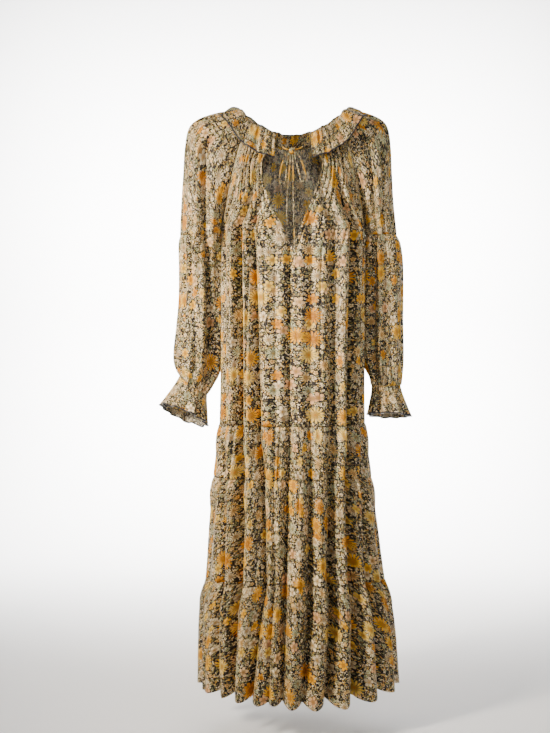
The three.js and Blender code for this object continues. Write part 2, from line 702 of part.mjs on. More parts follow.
// The self ties: a strand from each end of the collar, two loops and two tails at one knot.
// Their ends sit round the knot at angles, in degrees. Routes are points chosen by hand.
const tieDiameter = 3;
const knot = { x: -2, y: -68, z: -78, width: 6.8, depth: 4.5, endDistance: 7.2 };
const tieRoutes = {
  tie_strand_left: {
    ends: [null, 155],
    route: [[-32.8, -51, -47], [-29, -54, -58], [-20, -61, -70], [-13, -66, -74.5]],
  },
  tie_strand_right: {
    ends: [null, 25],
    route: [[34.8, -51, -47], [30, -54, -58], [19, -61, -70], [9, -66, -74.5]],
  },
  tie_loop_left: {
    ends: [190, 222],
    route: [
      [-14, -70, -84], [-21, -73, -102], [-26, -75.5, -122], [-28, -77, -139], [-26, -78, -148],
      [-21, -78, -151], [-16.5, -77.5, -146], [-14.5, -76, -133], [-12.5, -73.5, -113], [-10, -70.5, -94],
    ],
  },
  tie_loop_right: {
    ends: [-10, -42],
    route: [
      [10, -70, -84], [18, -73, -99], [24, -75, -117], [27.5, -76.5, -131], [26, -77.5, -140],
      [21, -77.5, -143.5], [16, -77, -138], [13.5, -75.5, -126], [9.5, -73, -109], [6, -70.5, -93],
    ],
  },
  tie_tail_left: {
    ends: [255, null],
    route: [
      [-5, -70, -97], [-8, -74, -130], [-11, -78, -170], [-12.5, -80.5, -205], [-11, -82.5, -236],
    ],
  },
  tie_tail_right: {
    ends: [285, null],
    route: [
      [0.5, -69.5, -97], [1, -73, -125], [1.5, -77, -165],
      [2, -80.5, -205], [3, -83.5, -245], [4, -85.5, -282],
    ],
  },
};

function knotEnd(angle) {
  const turn = radians(angle);
  const x = knot.x + knot.endDistance * Math.cos(turn);
  return new THREE.Vector3(x, knot.y, knot.z + knot.endDistance * Math.sin(turn));
}

function makeTie(name, { ends, route }) {
  const points = route.map(([x, y, z]) => new THREE.Vector3(x, y, z));
  if (ends[0] !== null) {
    points.unshift(knotEnd(ends[0]));
  }
  if (ends[1] !== null) {
    points.push(knotEnd(ends[1]));
  }
  const path = new THREE.CatmullRomCurve3(points);
  const section = new THREE.Shape();
  section.absarc(0, 0, tieDiameter / 2, 0, 2 * Math.PI);
  const steps = Math.round(path.getLength() / (3 * tieDiameter));
  const options = { steps, curveSegments: 4, extrudePath: path, bevelEnabled: false };
  const mesh = new THREE.Mesh(new THREE.ExtrudeGeometry(section, options), tieCloth);
  mesh.name = name;
  return mesh;
}

function makeKnot() {
  const mesh = new THREE.Mesh(new THREE.SphereGeometry(1, 10, 6), tieCloth);
  mesh.geometry.scale(knot.width, knot.depth, knot.width);
  mesh.position.set(knot.x, knot.y, knot.z);
  mesh.name = "tie_knot";
  return mesh;
}

const dress = new THREE.Group();
dress.add(makeBody(1), makeBody(-1), makeCollar());
for (const side of [-1, 1]) {
  dress.add(makeUpperSleeve(side), makeLowerSleeve(side), makeCuff(side));
}
for (const tier of tiers) {
  dress.add(makeTier(tier, 1), makeTier(tier, -1));
}
for (const [name, tie] of Object.entries(tieRoutes)) {
  dress.add(makeTie(name, tie));
}
dress.add(makeKnot());

export default dress;
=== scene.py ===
"""A long sleeve maxi dress of thin printed cloth, hanging open and filled out with nobody in it.

Lengths in the tables are in millimetres and every mesh is made in metres. The front faces -Y.
Left and right are as seen from the front, and side is -1 at the left and 1 at the right.
"""
import math

import bmesh
import bpy
import numpy as np
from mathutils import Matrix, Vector


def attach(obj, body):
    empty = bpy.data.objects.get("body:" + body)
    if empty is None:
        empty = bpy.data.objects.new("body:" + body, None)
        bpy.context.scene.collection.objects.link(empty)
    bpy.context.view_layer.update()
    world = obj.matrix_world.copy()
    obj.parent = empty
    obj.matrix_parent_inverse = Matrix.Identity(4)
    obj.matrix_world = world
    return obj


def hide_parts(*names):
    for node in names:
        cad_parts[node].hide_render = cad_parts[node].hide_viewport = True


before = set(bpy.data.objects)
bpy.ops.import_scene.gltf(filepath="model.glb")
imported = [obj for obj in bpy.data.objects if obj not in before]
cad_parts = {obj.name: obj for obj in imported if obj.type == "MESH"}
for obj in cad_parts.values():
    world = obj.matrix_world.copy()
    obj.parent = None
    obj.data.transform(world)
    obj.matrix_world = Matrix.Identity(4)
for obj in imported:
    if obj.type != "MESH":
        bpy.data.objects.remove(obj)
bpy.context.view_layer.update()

MM = 0.001
TURN = 2 * math.pi
SIDES = {-1: "left", 1: "right"}
FACES = {1: "front", -1: "back"}


def add_object(name, data):
    thing = bpy.data.objects.new(name, data)
    bpy.context.scene.collection.objects.link(thing)
    return thing


def look_at(thing, place, target):
    thing.location = place
    sight = Vector(target) - Vector(place)
    thing.rotation_euler = sight.to_track_quat("-Z", "Y").to_euler()
    return sight.length


# Camera: it stands level with the chest and looks a little down
PIXEL = 2.2 * MM
FRAME_HEIGHT = 733
VIEW_CENTRE = (-0.0374, 0.0, -0.538)
CAMERA_PLACE = (-0.0374, -2.3, -0.4)
SENSOR = 36.0


def make_camera():
    data = bpy.data.cameras.new("camera")
    camera = add_object("camera", data)
    distance = look_at(camera, CAMERA_PLACE, VIEW_CENTRE)
    data.sensor_width = SENSOR
    data.lens = SENSOR * distance / (FRAME_HEIGHT * PIXEL)
    bpy.context.scene.camera = camera


make_camera()


# Tables of sizes, in millimetres
def table(names, rows):
    """Named columns, and one more named place that numbers the rows."""
    columns = dict(zip(names.split(), np.array(rows, dtype=float).T))
    columns["place"] = np.arange(len(rows), dtype=float)
    return columns


def rings(rows):
    return table("z centre back width depth tilt nod", rows)


CLOTH = 0.7
SLIT_BOTTOM = -285.0
FRONT_NECK = -45.0
BACK_NECK = -62.0
COLLAR_WIDTH = 64.0
PIPE_VALLEY = 0.38

SEAMS = {
    "waist": (-663, 2),
    "second": (-783, 10),
    "third": (-1010, 12),
    "hem": (-1243, 2),
}

BODY = table("z left right crease front back square", [
    (40, 70, 74, 10, 24, 20, 2.4),
    (-12, 92, 96, 24, 42, 36, 2.4),
    (-45, 107, 114, 36, 52, 47, 2.5),
    (-80, 119, 127, 40, 60, 54, 2.6),
    (-115, 128, 136, 37, 65, 59, 2.6),
    (-150, 136, 143, 31, 69, 63, 2.6),
    (-185, 144, 150, 22, 72, 66, 2.5),
    (-215, 149, 155, 10, 75, 69, 2.4),
    (-235, 151, 157, 0, 77, 71, 2.4),
    (-300, 151, 157, 0, 81, 75, 2.4),
    (-400, 151, 157, 0, 85, 80, 2.3),
    (-540, 153, 158, 0, 90, 86, 2.2),
    (-663, 157, 160, 0, 96, 92, 2.1),
    (-720, 161, 164, 0, 101, 97, 2.1),
    (-783, 168, 172, 0, 106, 102, 2),
    (-900, 176, 187, 0, 116, 112, 2),
    (-1010, 184, 201, 0, 126, 122, 2),
    (-1060, 196, 215, 0, 132, 128, 2),
    (-1130, 201, 224, 0, 139, 135, 2),
    (-1260, 204, 232, 0, 148, 144, 2),
])

# Hanging folds: places round the dress at five heights, and depths on the body and skirt
FOLD_HEIGHTS = np.array([-300, -663, -783, -1010, -1243])
FOLD_WIDTH = 0.031
FOLD_SHARPNESS = 1.2
FOLD_STRENGTH = 2.6
RIDGE_WIDTH = 0.05
RIDGE_STRENGTH = 0.42
RIDGE_PLACE = 0.095
FOLDS = table("chest waist second third hem body skirt", [
    (-0.81, -0.77, -0.68, -0.62, -0.6, 9, 15),
    (-0.52, -0.51, -0.47, -0.45, -0.46, 17, 17),
    (-0.36, -0.31, -0.25, -0.22, -0.31, 9, 13),
    (-0.16, -0.15, -0.15, -0.14, -0.175, 2, 10),
    (-0.03, -0.03, -0.04, -0.06, -0.075, 5, 14),
    (0.16, 0.15, 0.14, 0.12, 0.06, 3, 13),
    (0.35, 0.36, 0.32, 0.28, 0.215, 7, 16),
    (0.58, 0.56, 0.5, 0.45, 0.405, 17, 15),
    (0.77, 0.72, 0.66, 0.62, 0.64, 9, 17),
    (1.05, 1.0, 0.92, 0.86, 0.88, 3, 13),
    (1.24, 1.22, 1.18, 1.13, 1.11, 8, 16),
    (1.46, 1.43, 1.4, 1.37, 1.33, 15, 15),
    (1.66, 1.62, 1.6, 1.58, 1.55, 8, 12),
    (1.83, 1.8, 1.78, 1.76, 1.74, 5, 15),
    (2.02, 2.0, 1.98, 1.97, 1.96, 7, 12),
    (2.22, 2.2, 2.19, 2.18, 2.18, 6, 16),
    (2.42, 2.4, 2.4, 2.4, 2.4, 10, 14),
    (2.62, 2.61, 2.61, 2.62, 2.63, 15, 17),
    (2.8, 2.82, 2.83, 2.86, 2.87, 7, 13),
    (2.98, 3.0, 3.05, 3.1, 3.12, 3, 14),
])

# Stations of the upper sleeve, from the neck to the sleeve seam
STATIONS = table("seam outer_left outer_right height depth", [
    (-12, 104, 106, 10, 25.5),
    (-45, 141, 140, 14, 39),
    (-80, 178, 170, 7, 45),
    (-115, 207, 194, -5, 48),
    (-150, 224, 207, -24, 49),
    (-185, 232, 213, -64, 49),
    (-215, 236, 216, -125, 48),
    (-235, 240, 220, -190, 46),
    (-251, 243, 227, -251, 45),
])
UNDERARM_GAP = 2.6

# Rings of the lower sleeves and cuffs. tilt lifts the outer side and nod lowers the back rim.
LOWER_SLEEVES = {-1: rings([
    (-251, 198.8, 0, 44.5, 45, 0, 0),
    (-272, 199.6, 4, 48, 49, 0, 0),
    (-320, 199.2, 22, 48.5, 50, 0, 0),
    (-400, 199.8, 28, 49.3, 51, 0, 0),
    (-480, 204.2, 28, 53.2, 52, 2, 0),
    (-535, 207.5, 20, 51.5, 48, 10, 0),
    (-562, 214, 7, 43, 38, 22, 0),
    (-579, 217, 0, 36, 27, 34, 0),
]), 1: rings([
    (-251, 194.2, 0, 33, 45, 0, 0),
    (-272, 196.8, 4, 39.3, 50, 0, 0),
    (-320, 199.4, 22, 42.9, 52, 0, 0),
    (-400, 200.1, 28, 43.9, 53, 0, 0),
    (-480, 200.8, 28, 43.6, 53, 0, 0),
    (-535, 203.5, 20, 41.5, 48, 0, 0),
    (-562, 207, 7, 34, 38, 0, 0),
    (-579, 207, 0, 31, 26, 0, 0),
])}
CUFFS = {-1: rings([
    (-579.3, 217.2, 0, 36, 27, 34, 0),
    (-612, 227, -2, 44, 36, 27, 12),
    (-645, 237, -6, 53, 43, 24, 22),
]), 1: rings([
    (-579.3, 207, 0, 31, 26, 0, 0),
    (-612, 210, -1, 37, 34, -1, 7),
    (-645, 213, -3, 44, 41, -2, 14),
])}

# Soft valleys down each sleeve: degrees round it from its outer side, over the front
SLEEVE_FOLD_STRENGTH = 2.3
SLEEVE_FOLDS = {-1: table("shoulder elbow wrist depth spread", [
    (58, 112, 128, 9, 17),
    (24, 62, 84, 4, 13),
    (18, 34, 44, 3.5, 12),
    (-46, -60, -74, 7, 16),
    (-84, -112, -124, 6, 16),
]), 1: table("shoulder elbow wrist depth spread", [
    (82, 128, 134, 8, 17),
    (44, 84, 88, 5, 15),
    (20, 40, 36, 3, 12),
    (-52, -64, -70, 7, 16),
    (-88, -118, -126, 6, 16),
])}

# Edges of the front slit, from the middle
SLIT = table("z left right", [
    (-45, 35, 37),
    (-72, 50, 49),
    (-98, 64, 62),
    (-128, 64, 58),
    (-172, 53, 43),
    (-216, 32, 25),
    (-260, 10, 9),
    (SLIT_BOTTOM, 0, 0),
])


def read(rows, column, at, key="z"):
    """One column of a table at many places, smoothly between its rows."""
    keys = rows[key]
    values = rows[column]
    if keys[0] > keys[-1]:
        keys = keys[::-1]
        values = values[::-1]
    slopes = np.empty_like(values)
    slopes[1:-1] = (values[2:] - values[:-2]) / (keys[2:] - keys[:-2])
    slopes[0] = (values[1] - values[0]) / (keys[1] - keys[0])
    slopes[-1] = (values[-1] - values[-2]) / (keys[-1] - keys[-2])
    at = np.clip(at, keys[0], keys[-1])
    low = np.clip(np.searchsorted(keys, at, side="right") - 1, 0, len(keys) - 2)
    span = keys[low + 1] - keys[low]
    t = (at - keys[low]) / span
    t2 = t * t
    t3 = t2 * t
    return (
        (2 * t3 - 3 * t2 + 1) * values[low]
        + (t3 - 2 * t2 + t) * span * slopes[low]
        + (3 * t2 - 2 * t3) * values[low + 1]
        + (t3 - t2) * span * slopes[low + 1]
    )


def unit(value):
    return np.clip(value, 0, 1)


def ramp(start, end, at):
    share = unit((at - start) / (end - start))
    return share * share * (3 - 2 * share)


def mix(start, end, share):
    return start + (end - start) * share


def vectors(*parts):
    return np.stack(np.broadcast_arrays(*parts), axis=-1)


def seam_line(name, place):
    height, front_rise = SEAMS[name]
    return height + front_rise * np.cos(place * math.pi / 2)


def fold_depth(place, z):
    """Depth of the hanging folds."""
    skirt_share = ramp(-560, -1100, z)
    names = ("chest", "waist", "second", "third", "hem")
    depth = np.zeros(np.broadcast(place, z).shape)
    down = -np.asarray(z, dtype=float)
    for row in range(len(FOLDS["chest"])):
        centres = np.array([FOLDS[name][row] for name in names])
        centre = np.interp(down, -FOLD_HEIGHTS, centres)
        distance = place - centre
        nearest = distance - 4 * np.round(distance / 4)
        strength = mix(FOLDS["body"][row], FOLDS["skirt"][row], skirt_share)
        away = np.abs(nearest)
        valley = np.exp(-((away / FOLD_WIDTH) ** FOLD_SHARPNESS))
        ridges = np.exp(-(((away - RIDGE_PLACE) / RIDGE_WIDTH) ** 2))
        depth += strength * (FOLD_STRENGTH * valley - RIDGE_STRENGTH * ridges)
    return depth


def place_round(face, across):
    """Place round the dress, from 0 at the middle front to 2 or -2 at the middle back."""
    if face > 0:
        return across
    return 2 * np.where(across < 0, -1.0, 1.0) - across


def body_point(face, across, z, swell=0.0):
    """Points of the body or skirt at a share across and a height."""
    across, z = np.broadcast_arrays(np.asarray(across, dtype=float), np.asarray(z, dtype=float))
    reach = np.where(across < 0, read(BODY, "left", z), read(BODY, "right", z))
    crease = np.maximum(read(BODY, "crease", z), 0)
    depth = read(BODY, FACES[face], z)
    square = read(BODY, "square", z)
    open_width = reach / (1 - (crease / depth) ** square) ** (1 / square)
    turn = across * np.arctan2(reach / open_width, crease / depth)
    fit = (np.abs(np.sin(turn)) ** square + np.abs(np.cos(turn)) ** square) ** (-1 / square)
    x = open_width * np.sin(turn) * fit
    y = -face * depth * np.cos(turn) * fit
    outward = normalized(vectors(x / open_width**2, y / depth**2, 0.0))
    seam_fade = np.where(crease > 0, unit(1 - np.abs(across) ** 6), 1)
    folds = fold_depth(place_round(face, across), z) * ramp(-60, -330, z) * seam_fade
    move = swell - folds
    return vectors(x, y, z) + outward * move[..., None]


def across_at(face, x, z):
    """The share across at which the body has a given x."""
    low = np.full(np.shape(z), -1.0)
    high = np.full(np.shape(z), 1.0)
    for _ in range(24):
        middle = (low + high) / 2
        left_of = body_point(face, middle, z)[..., 0] < x
        low = np.where(left_of, middle, low)
        high = np.where(left_of, high, middle)
    return (low + high) / 2


def normalized(vectors):
    return vectors / np.linalg.norm(vectors, axis=-1, keepdims=True)


def ripple(at, length, seed):
    """Uneven ripples: waves of three lengths with their own random starts."""
    rng = np.random.default_rng(seed)
    wave = np.zeros(np.shape(at))
    for share, strength in ((1.0, 0.55), (0.71, 0.3), (1.43, 0.4)):
        start = rng.uniform(0, TURN)
        wander = rng.uniform(5, 9) * length
        bend = 1.1 * np.sin(TURN * at / wander + rng.uniform(0, 6))
        wave += strength * np.sin(TURN * at / (length * share) + start + bend)
    return wave


def pipes(at, length, seed):
    """Uneven round folds side by side, with a narrow valley between each two."""
    rng = np.random.default_rng(seed)
    wander = rng.uniform(5, 8) * length
    phase = math.pi * at / length + rng.uniform(0, math.pi)
    phase += 0.9 * np.sin(TURN * at / wander + rng.uniform(0, 6))
    valley = np.exp(-np.abs(np.sin(phase)) / PIPE_VALLEY)
    strength = 0.65 + 0.35 * np.sin(TURN * at / (2.7 * length) + rng.uniform(0, 6))
    return (0.5 - 1.7 * valley) * strength


def waves(shape, at, size, seed):
    """Ripples or pipes of a size: strength, length and, if they fade, how far they reach."""
    return size[0] * shape(at, size[1], seed)


def fading(shape, at, size, seed, drop):
    return waves(shape, at, size, seed) * np.exp(-drop / size[2])


def pinch(drop, size):
    """How far the cloth is drawn in at a seam, from a depth and a reach."""
    return size[0] * np.exp(-drop / size[1])


OUTER_SLOT = 0
INNER_SLOT = 1
EDGE_SLOT = 2


class ClothMesh:
    """Sheets with two faces and rims, and tubes, gathered into one mesh."""

    def __init__(self):
        self.points = []
        self.count = 0
        self.faces = []
        self.uvs = []
        self.slots = []

    def add_points(self, points):
        start = self.count
        self.points.append(points.reshape(-1, 3))
        self.count += points.size // 3
        return start + np.arange(points.size // 3).reshape(points.shape[:-1])

    def add_faces(self, corners, uvs, material, flip=False):
        if flip:
            corners = corners[..., ::-1]
            uvs = uvs[..., ::-1, :]
        self.faces.append(corners.reshape(-1, 4))
        self.uvs.append(uvs.reshape(-1, 4, 2))
        self.slots.append(np.full(corners.size // 4, material))

    def add_grid(self, indices, uv, material, flip):
        corners, places = (
            np.stack([grid[:-1, :-1], grid[1:, :-1], grid[1:, 1:], grid[:-1, 1:]], axis=2)
            for grid in (indices, uv)
        )
        self.add_faces(corners, places, material, flip)

    def add_rim(self, outer, inner, uv, flip):
        corners = np.stack([outer[:-1], outer[1:], inner[1:], inner[:-1]], axis=-1)
        places = np.stack([uv[:-1], uv[1:], uv[1:], uv[:-1]], axis=-2)
        self.add_faces(corners, places, EDGE_SLOT, flip)

    def add_sheet(self, outer, normals, uv, closed=False, flip=False, last_rim=True):
        """A sheet from its outer points, with a rim at each edge unless it is closed there."""
        inner = outer - normals * CLOTH
        outside = self.add_points(outer)
        inside = self.add_points(inner)
        if closed:
            outside = np.hstack([outside, outside[:, :1]])
            inside = np.hstack([inside, inside[:, :1]])
        self.add_grid(outside, uv, OUTER_SLOT, flip)
        self.add_grid(inside, uv, INNER_SLOT, not flip)
        self.add_rim(outside[0], inside[0], uv[0], flip)
        self.add_rim(outside[-1], inside[-1], uv[-1], not flip)
        if not closed:
            self.add_rim(outside[:, 0], inside[:, 0], uv[:, 0], not flip)
            if last_rim:
                self.add_rim(outside[:, -1], inside[:, -1], uv[:, -1], flip)

    def add_tube(self, path, radius, closed=False, sides=8):
        if closed:
            forward = np.roll(path, -1, axis=0) - np.roll(path, 1, axis=0)
        else:
            forward = np.gradient(path, axis=0)
        forward = normalized(forward)
        helper = np.array([0.31, 0.17, 0.94])
        across = normalized(np.cross(forward, helper))
        upward = np.cross(forward, across)
        turns = TURN * np.arange(sides) / sides
        ring = across[:, None, :] * np.cos(turns)[None, :, None]
        ring += upward[:, None, :] * np.sin(turns)[None, :, None]
        indices = self.add_points(path[:, None, :] + ring * radius)
        indices = np.hstack([indices, indices[:, :1]])
        if closed:
            indices = np.vstack([indices, indices[:1]])
        rows, columns = indices.shape
        uv = vectors(*np.meshgrid(np.arange(columns), np.arange(rows) * 2.0)) * MM
        self.add_grid(indices, uv, EDGE_SLOT, True)
        if not closed:
            self.add_cap(indices[0], True)
            self.add_cap(indices[-1], False)

    def add_cap(self, ring, flip):
        """Closes the end of a tube that has an even number of sides."""
        first = len(ring) - 1
        for start in range(1, first - 1, 2):
            corners = ring[[0, start, start + 1, (start + 2) % first]]
            self.add_faces(corners, np.zeros((4, 2)), EDGE_SLOT, flip)

    def build(self, name, materials, weld=False):
        points = np.vstack(self.points) * MM
        faces = np.vstack(self.faces)
        uvs = np.vstack(self.uvs)
        slots = np.hstack(self.slots)
        mesh = bpy.data.meshes.new(name)
        mesh.vertices.add(len(points))
        mesh.vertices.foreach_set("co", points.ravel())
        mesh.loops.add(faces.size)
        mesh.loops.foreach_set("vertex_index", faces.ravel())
        mesh.polygons.add(len(faces))
        mesh.polygons.foreach_set("loop_start", np.arange(0, faces.size, 4))
        mesh.polygons.foreach_set("material_index", slots)
        layer = mesh.uv_layers.new(name="cloth")
        layer.data.foreach_set("uv", uvs.ravel())
        mesh.update(calc_edges=True)
        mesh.validate()
        mesh.polygons.foreach_set("use_smooth", np.ones(len(faces), dtype=bool))
        for material in materials:
            mesh.materials.append(material)
        if weld:
            weld_mesh(mesh)
        return add_object(name, mesh)


def weld_mesh(mesh):
    work = bmesh.new()
    work.from_mesh(mesh)
    bmesh.ops.remove_doubles(work, verts=work.verts, dist=0.00001)
    work.to_mesh(mesh)
    work.free()


def grid_normals(points, closed=False):
    """Normals of a grid of points, from its neighbours down and across."""
    down = np.gradient(points, axis=0)
    if closed:
        across = np.roll(points, -1, axis=1) - np.roll(points, 1, axis=1)
    else:
        across = np.gradient(points, axis=1)
    return normalized(np.cross(down, across))


def running(steps):
    return np.hstack([0, np.cumsum(steps)])


def run_along(line):
    """Lengths along a line of points, from its start to each of them."""
    return running(np.linalg.norm(np.diff(line, axis=0), axis=-1))


def stand_for(piece, node):
    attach(piece, "root")
    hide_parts(node)


# Where each piece starts on the printed cloth, in metres
PRINT_START = {
    "front": 0.3, "back": 2.6, "tier": 5, "upper": 11, "lower": 14, "cuff": 17, "collar": 20,
}
TIER_STEP = 1.7
FRONT_STEP = 0.8

# The body panels
NECK_COLUMNS = 12
CREASE_END = 7
CREASE_SHARE = 0.45
SEAM_EDGE = 0.15
RAGLAN_EDGE = 0.25
CLOTH_REACH = 235.0
TOP_ROWS = 4
SLIT_ROWS = 40
BODY_PIPES = (6.5, 21)
BODY_RIPPLES = (1.8, 43)
SOFT_RIPPLES = (1.3, 31)
NECK_RIPPLES = (1.4, 8, 40)
NECK_PIPES = (10, 16, 280)
FOOT_RIPPLES = (0.7, 9, 16)
FOOT_PINCH = (1.1, 7)


def half_points(face, side, columns, rows):
    """Points of half a body panel. Columns run from its side to the middle, and rows down."""
    column, down = np.meshgrid(columns, rows)
    on_crease = np.clip(CREASE_END - column, 0, CREASE_END)
    neck = unit((column - CREASE_END) / NECK_COLUMNS)
    crease_height = np.interp(on_crease, STATIONS["place"], STATIONS["seam"])
    low = FRONT_NECK if face > 0 else BACK_NECK
    curve = neck**0.85 if face > 0 else np.sin(neck * math.pi / 2) ** 1.2
    neck_height = mix(STATIONS["seam"][0], low, curve)
    top = np.where(column <= CREASE_END, crease_height, neck_height)
    below = unit(column / CREASE_END) ** 0.7 * CREASE_SHARE
    below += neck * (1 - CREASE_SHARE)
    share = mix(neck, below, 1 - (1 - down) ** 6)
    place = side * (1 - share)
    foot = seam_line("waist", place if face > 0 else 2 * side - place) + SEAM_EDGE
    z = mix(top, foot, down)
    inner = np.zeros(z.shape)
    if face > 0:
        slit = z > SLIT_BOTTOM
        x = side * read(SLIT, SIDES[side], z)
        inner = np.where(slit, np.abs(across_at(face, x, z)), 0)
    across = side * mix(1, inner, share)
    drop = top - z
    run = side * (CREASE_END + NECK_COLUMNS - column) * 9.0
    seed = 11 + face
    gathers = fading(ripple, run, NECK_RIPPLES, seed, drop)
    gathers += fading(pipes, run, NECK_PIPES, seed + 1, drop)
    swell = gathers * unit(neck * 4)
    girth = across * CLOTH_REACH + 5 * np.sin(z / 130 + seed)
    loose = ramp(0.2, 0.48, np.abs(across)) * ramp(-60, -260, z)
    folds = waves(pipes, girth, BODY_PIPES, seed + 2) + waves(ripple, girth, BODY_RIPPLES, seed + 5)
    swell += folds * loose * (1 - 0.35 * ramp(-400, -640, z))
    soft = ramp(-150, -330, z) * (1 - 0.7 * loose)
    swell += waves(ripple, girth, SOFT_RIPPLES, seed + 3) * soft
    foot_drop = z - foot
    swell += fading(ripple, girth, FOOT_RIPPLES, seed + 4, foot_drop)
    swell -= pinch(foot_drop, FOOT_PINCH)
    side_fade = unit(1 - np.abs(across) ** 10)
    slit_fade = unit((np.abs(across) - inner) * 14) if face > 0 else 1
    slit_fade = mix(slit_fade, 1, ramp(SLIT_BOTTOM + 10, SLIT_BOTTOM - 60, z))
    points = body_point(face, across, z, swell * side_fade * mix(0.15, 1, slit_fade))
    seam = np.where(column <= CREASE_END, np.exp(-60 * down), 0)
    edge = unit(1 - column)
    points[..., 1] -= face * SEAM_EDGE * np.maximum(edge, seam)
    points[..., 0] -= side * RAGLAN_EDGE * seam
    return points, across, z


def body_rows(face):
    top = np.linspace(0, 0.03, TOP_ROWS + 1)[:-1]
    if face < 0:
        return np.hstack([top, np.linspace(0.03, 1, 96)])
    slit_share = (FRONT_NECK - SLIT_BOTTOM) / (FRONT_NECK - SEAMS["waist"][0] - 2 - SEAM_EDGE)
    above = np.linspace(0.03, slit_share, SLIT_ROWS)
    below = np.linspace(slit_share, 1, 58)[1:]
    return np.hstack([top, above, below])


def body_uv(across, z, face):
    """Places on the printed cloth, in metres. Gathers bring its print closer together."""
    reach = mix(read(BODY, "left", z), read(BODY, "right", z), 0.5) * 1.2
    width = mix(reach, CLOTH_REACH, 0.55)
    way = np.linspace(0, 1.05, 106)
    fullness = 1 + 1.2 * ramp(0.22, 0.5, way)
    gathered = running((fullness[1:] + fullness[:-1]) / 2 * way[1])
    cloth_across = np.sign(across) * np.interp(np.abs(across), way, gathered)
    return vectors(cloth_across * width, z) * MM + PRINT_START[FACES[face]]


def make_body(face):
    columns = np.hstack([
        np.linspace(0, CREASE_END, 36)[:-1],
        np.linspace(CREASE_END, CREASE_END + NECK_COLUMNS, 100),
    ])
    rows = body_rows(face)
    halves = {side: half_points(face, side, columns, rows) for side in SIDES}
    whole = np.hstack([halves[-1][0], halves[1][0][:, -2::-1]])
    normals = grid_normals(whole) * face
    count = len(columns)
    half_normals = {-1: normals[:, :count].copy(), 1: normals[:, :count - 2:-1].copy()}
    open_rows = TOP_ROWS + SLIT_ROWS - 1 if face > 0 else 0
    piece = ClothMesh()
    for side, (points, across, z) in halves.items():
        own_normals = half_normals[side]
        own_normals[:open_rows] = grid_normals(points)[:open_rows] * -side * face
        own_normals[:, 0, 1] = 0
        own_normals[:, 0] = normalized(own_normals[:, 0])
        uv = body_uv(across, z, face)
        flip = side * face > 0
        piece.add_sheet(points, own_normals, uv, flip=flip, last_rim=False)
        if open_rows:
            outer = points[:open_rows + 1, -1]
            inner = outer - own_normals[:open_rows + 1, -1] * CLOTH
            rim_uv = uv[:open_rows + 1, -1]
            piece.add_rim(piece.add_points(outer), piece.add_points(inner), rim_uv, flip)
    return piece


# The skirt tiers
TIER_COLUMNS = 281
PIPE_DEPTH = 5.5
TOP_SWELL = 4
TIER_FOOT_RIPPLES = (0.6, 9, 14)
TIER_TOP_PINCH = (1.0, 3.5)
TIER_FOOT_PINCH = (1.2, 6)
HEM_WAVE = 0.26
HEM_DIP = 11
TIERS = (
    ("waist", "second", 36, 10),
    ("second", "third", 50, 11),
    ("third", "hem", 60, 12),
)


def make_tier(number, face):
    top_seam, bottom_seam, row_count, gather_length = TIERS[number]
    across = np.linspace(-1, 1, TIER_COLUMNS)
    toward_top = np.linspace(0, 1, row_count) ** 1.35
    across, down = np.meshgrid(across, toward_top)
    place = place_round(face, across)
    top = seam_line(top_seam, place) - SEAM_EDGE
    lift = SEAM_EDGE
    at_hem = bottom_seam == "hem"
    if at_hem:
        lift = fold_depth(place, np.full(place.shape, SEAMS["hem"][0])) * HEM_WAVE
        lift -= HEM_DIP * np.exp(-(((place - 0.12) / 0.42) ** 2))
    bottom = seam_line(bottom_seam, place) + lift
    z = mix(top, bottom, down)
    drop = top - z
    rise = z - bottom
    reach = 270.0 + 20 * number
    girth = across * reach
    seed = 40 + 10 * number + face
    depth = 2.0 + 0.1 * number
    own_depth = 0.75 + 0.45 * ripple(girth, 120, seed + 5) ** 2
    swell = depth * own_depth * ripple(girth, gather_length, seed) * np.exp(-drop / 32)
    broad = np.exp(-drop / 190) * (1 - np.exp(-drop / 8))
    swell += PIPE_DEPTH * pipes(girth + 0.04 * drop, 24 + 2 * number, seed + 1) * broad
    spread = 1 - np.exp(-drop / 60)
    tubes = pipes(girth * (1 - 0.0003 * drop), 36 + 11 * number, seed + 2)
    swell += PIPE_DEPTH * tubes * spread
    swell += TOP_SWELL * np.sin(math.pi * np.minimum(drop / 70, 1))
    swell -= pinch(drop, TIER_TOP_PINCH)
    if not at_hem:
        swell += fading(ripple, girth, TIER_FOOT_RIPPLES, seed + 3, rise)
        swell -= pinch(rise, TIER_FOOT_PINCH)
    side_fade = unit((1 - np.abs(across)) * 24)
    points = body_point(face, across, z, swell * side_fade)
    at_side = unit((np.abs(across) - 0.9) * 10)
    points[..., 1] -= face * SEAM_EDGE * at_side
    normals = grid_normals(points) * face
    normals[:, [0, -1], 1] = 0
    normals = normalized(normals)
    fullness = 1.8 + 0.1 * number
    uv = vectors(girth * mix(fullness, 1.5, unit(drop / 160)), z) * MM
    uv += PRINT_START["tier"] + TIER_STEP * number + (FRONT_STEP if face > 0 else 0)
    piece = ClothMesh()
    piece.add_sheet(points, normals, uv, flip=face < 0)
    return piece


# The sleeves
SLEEVE_RIPPLES = (1.2, 8, 24)
SLEEVE_PIPES = (7, 19, 260)
LOW_RIPPLES = (2.2, 19)
ELBOW_PINCH = (0.6, 7)
LOWER_TOP_PINCH = (0.5, 5)
WRIST_PINCH = (1.2, 5)
CUFF_WAVES = 10
CUFF_WAVE_HEIGHT = 6


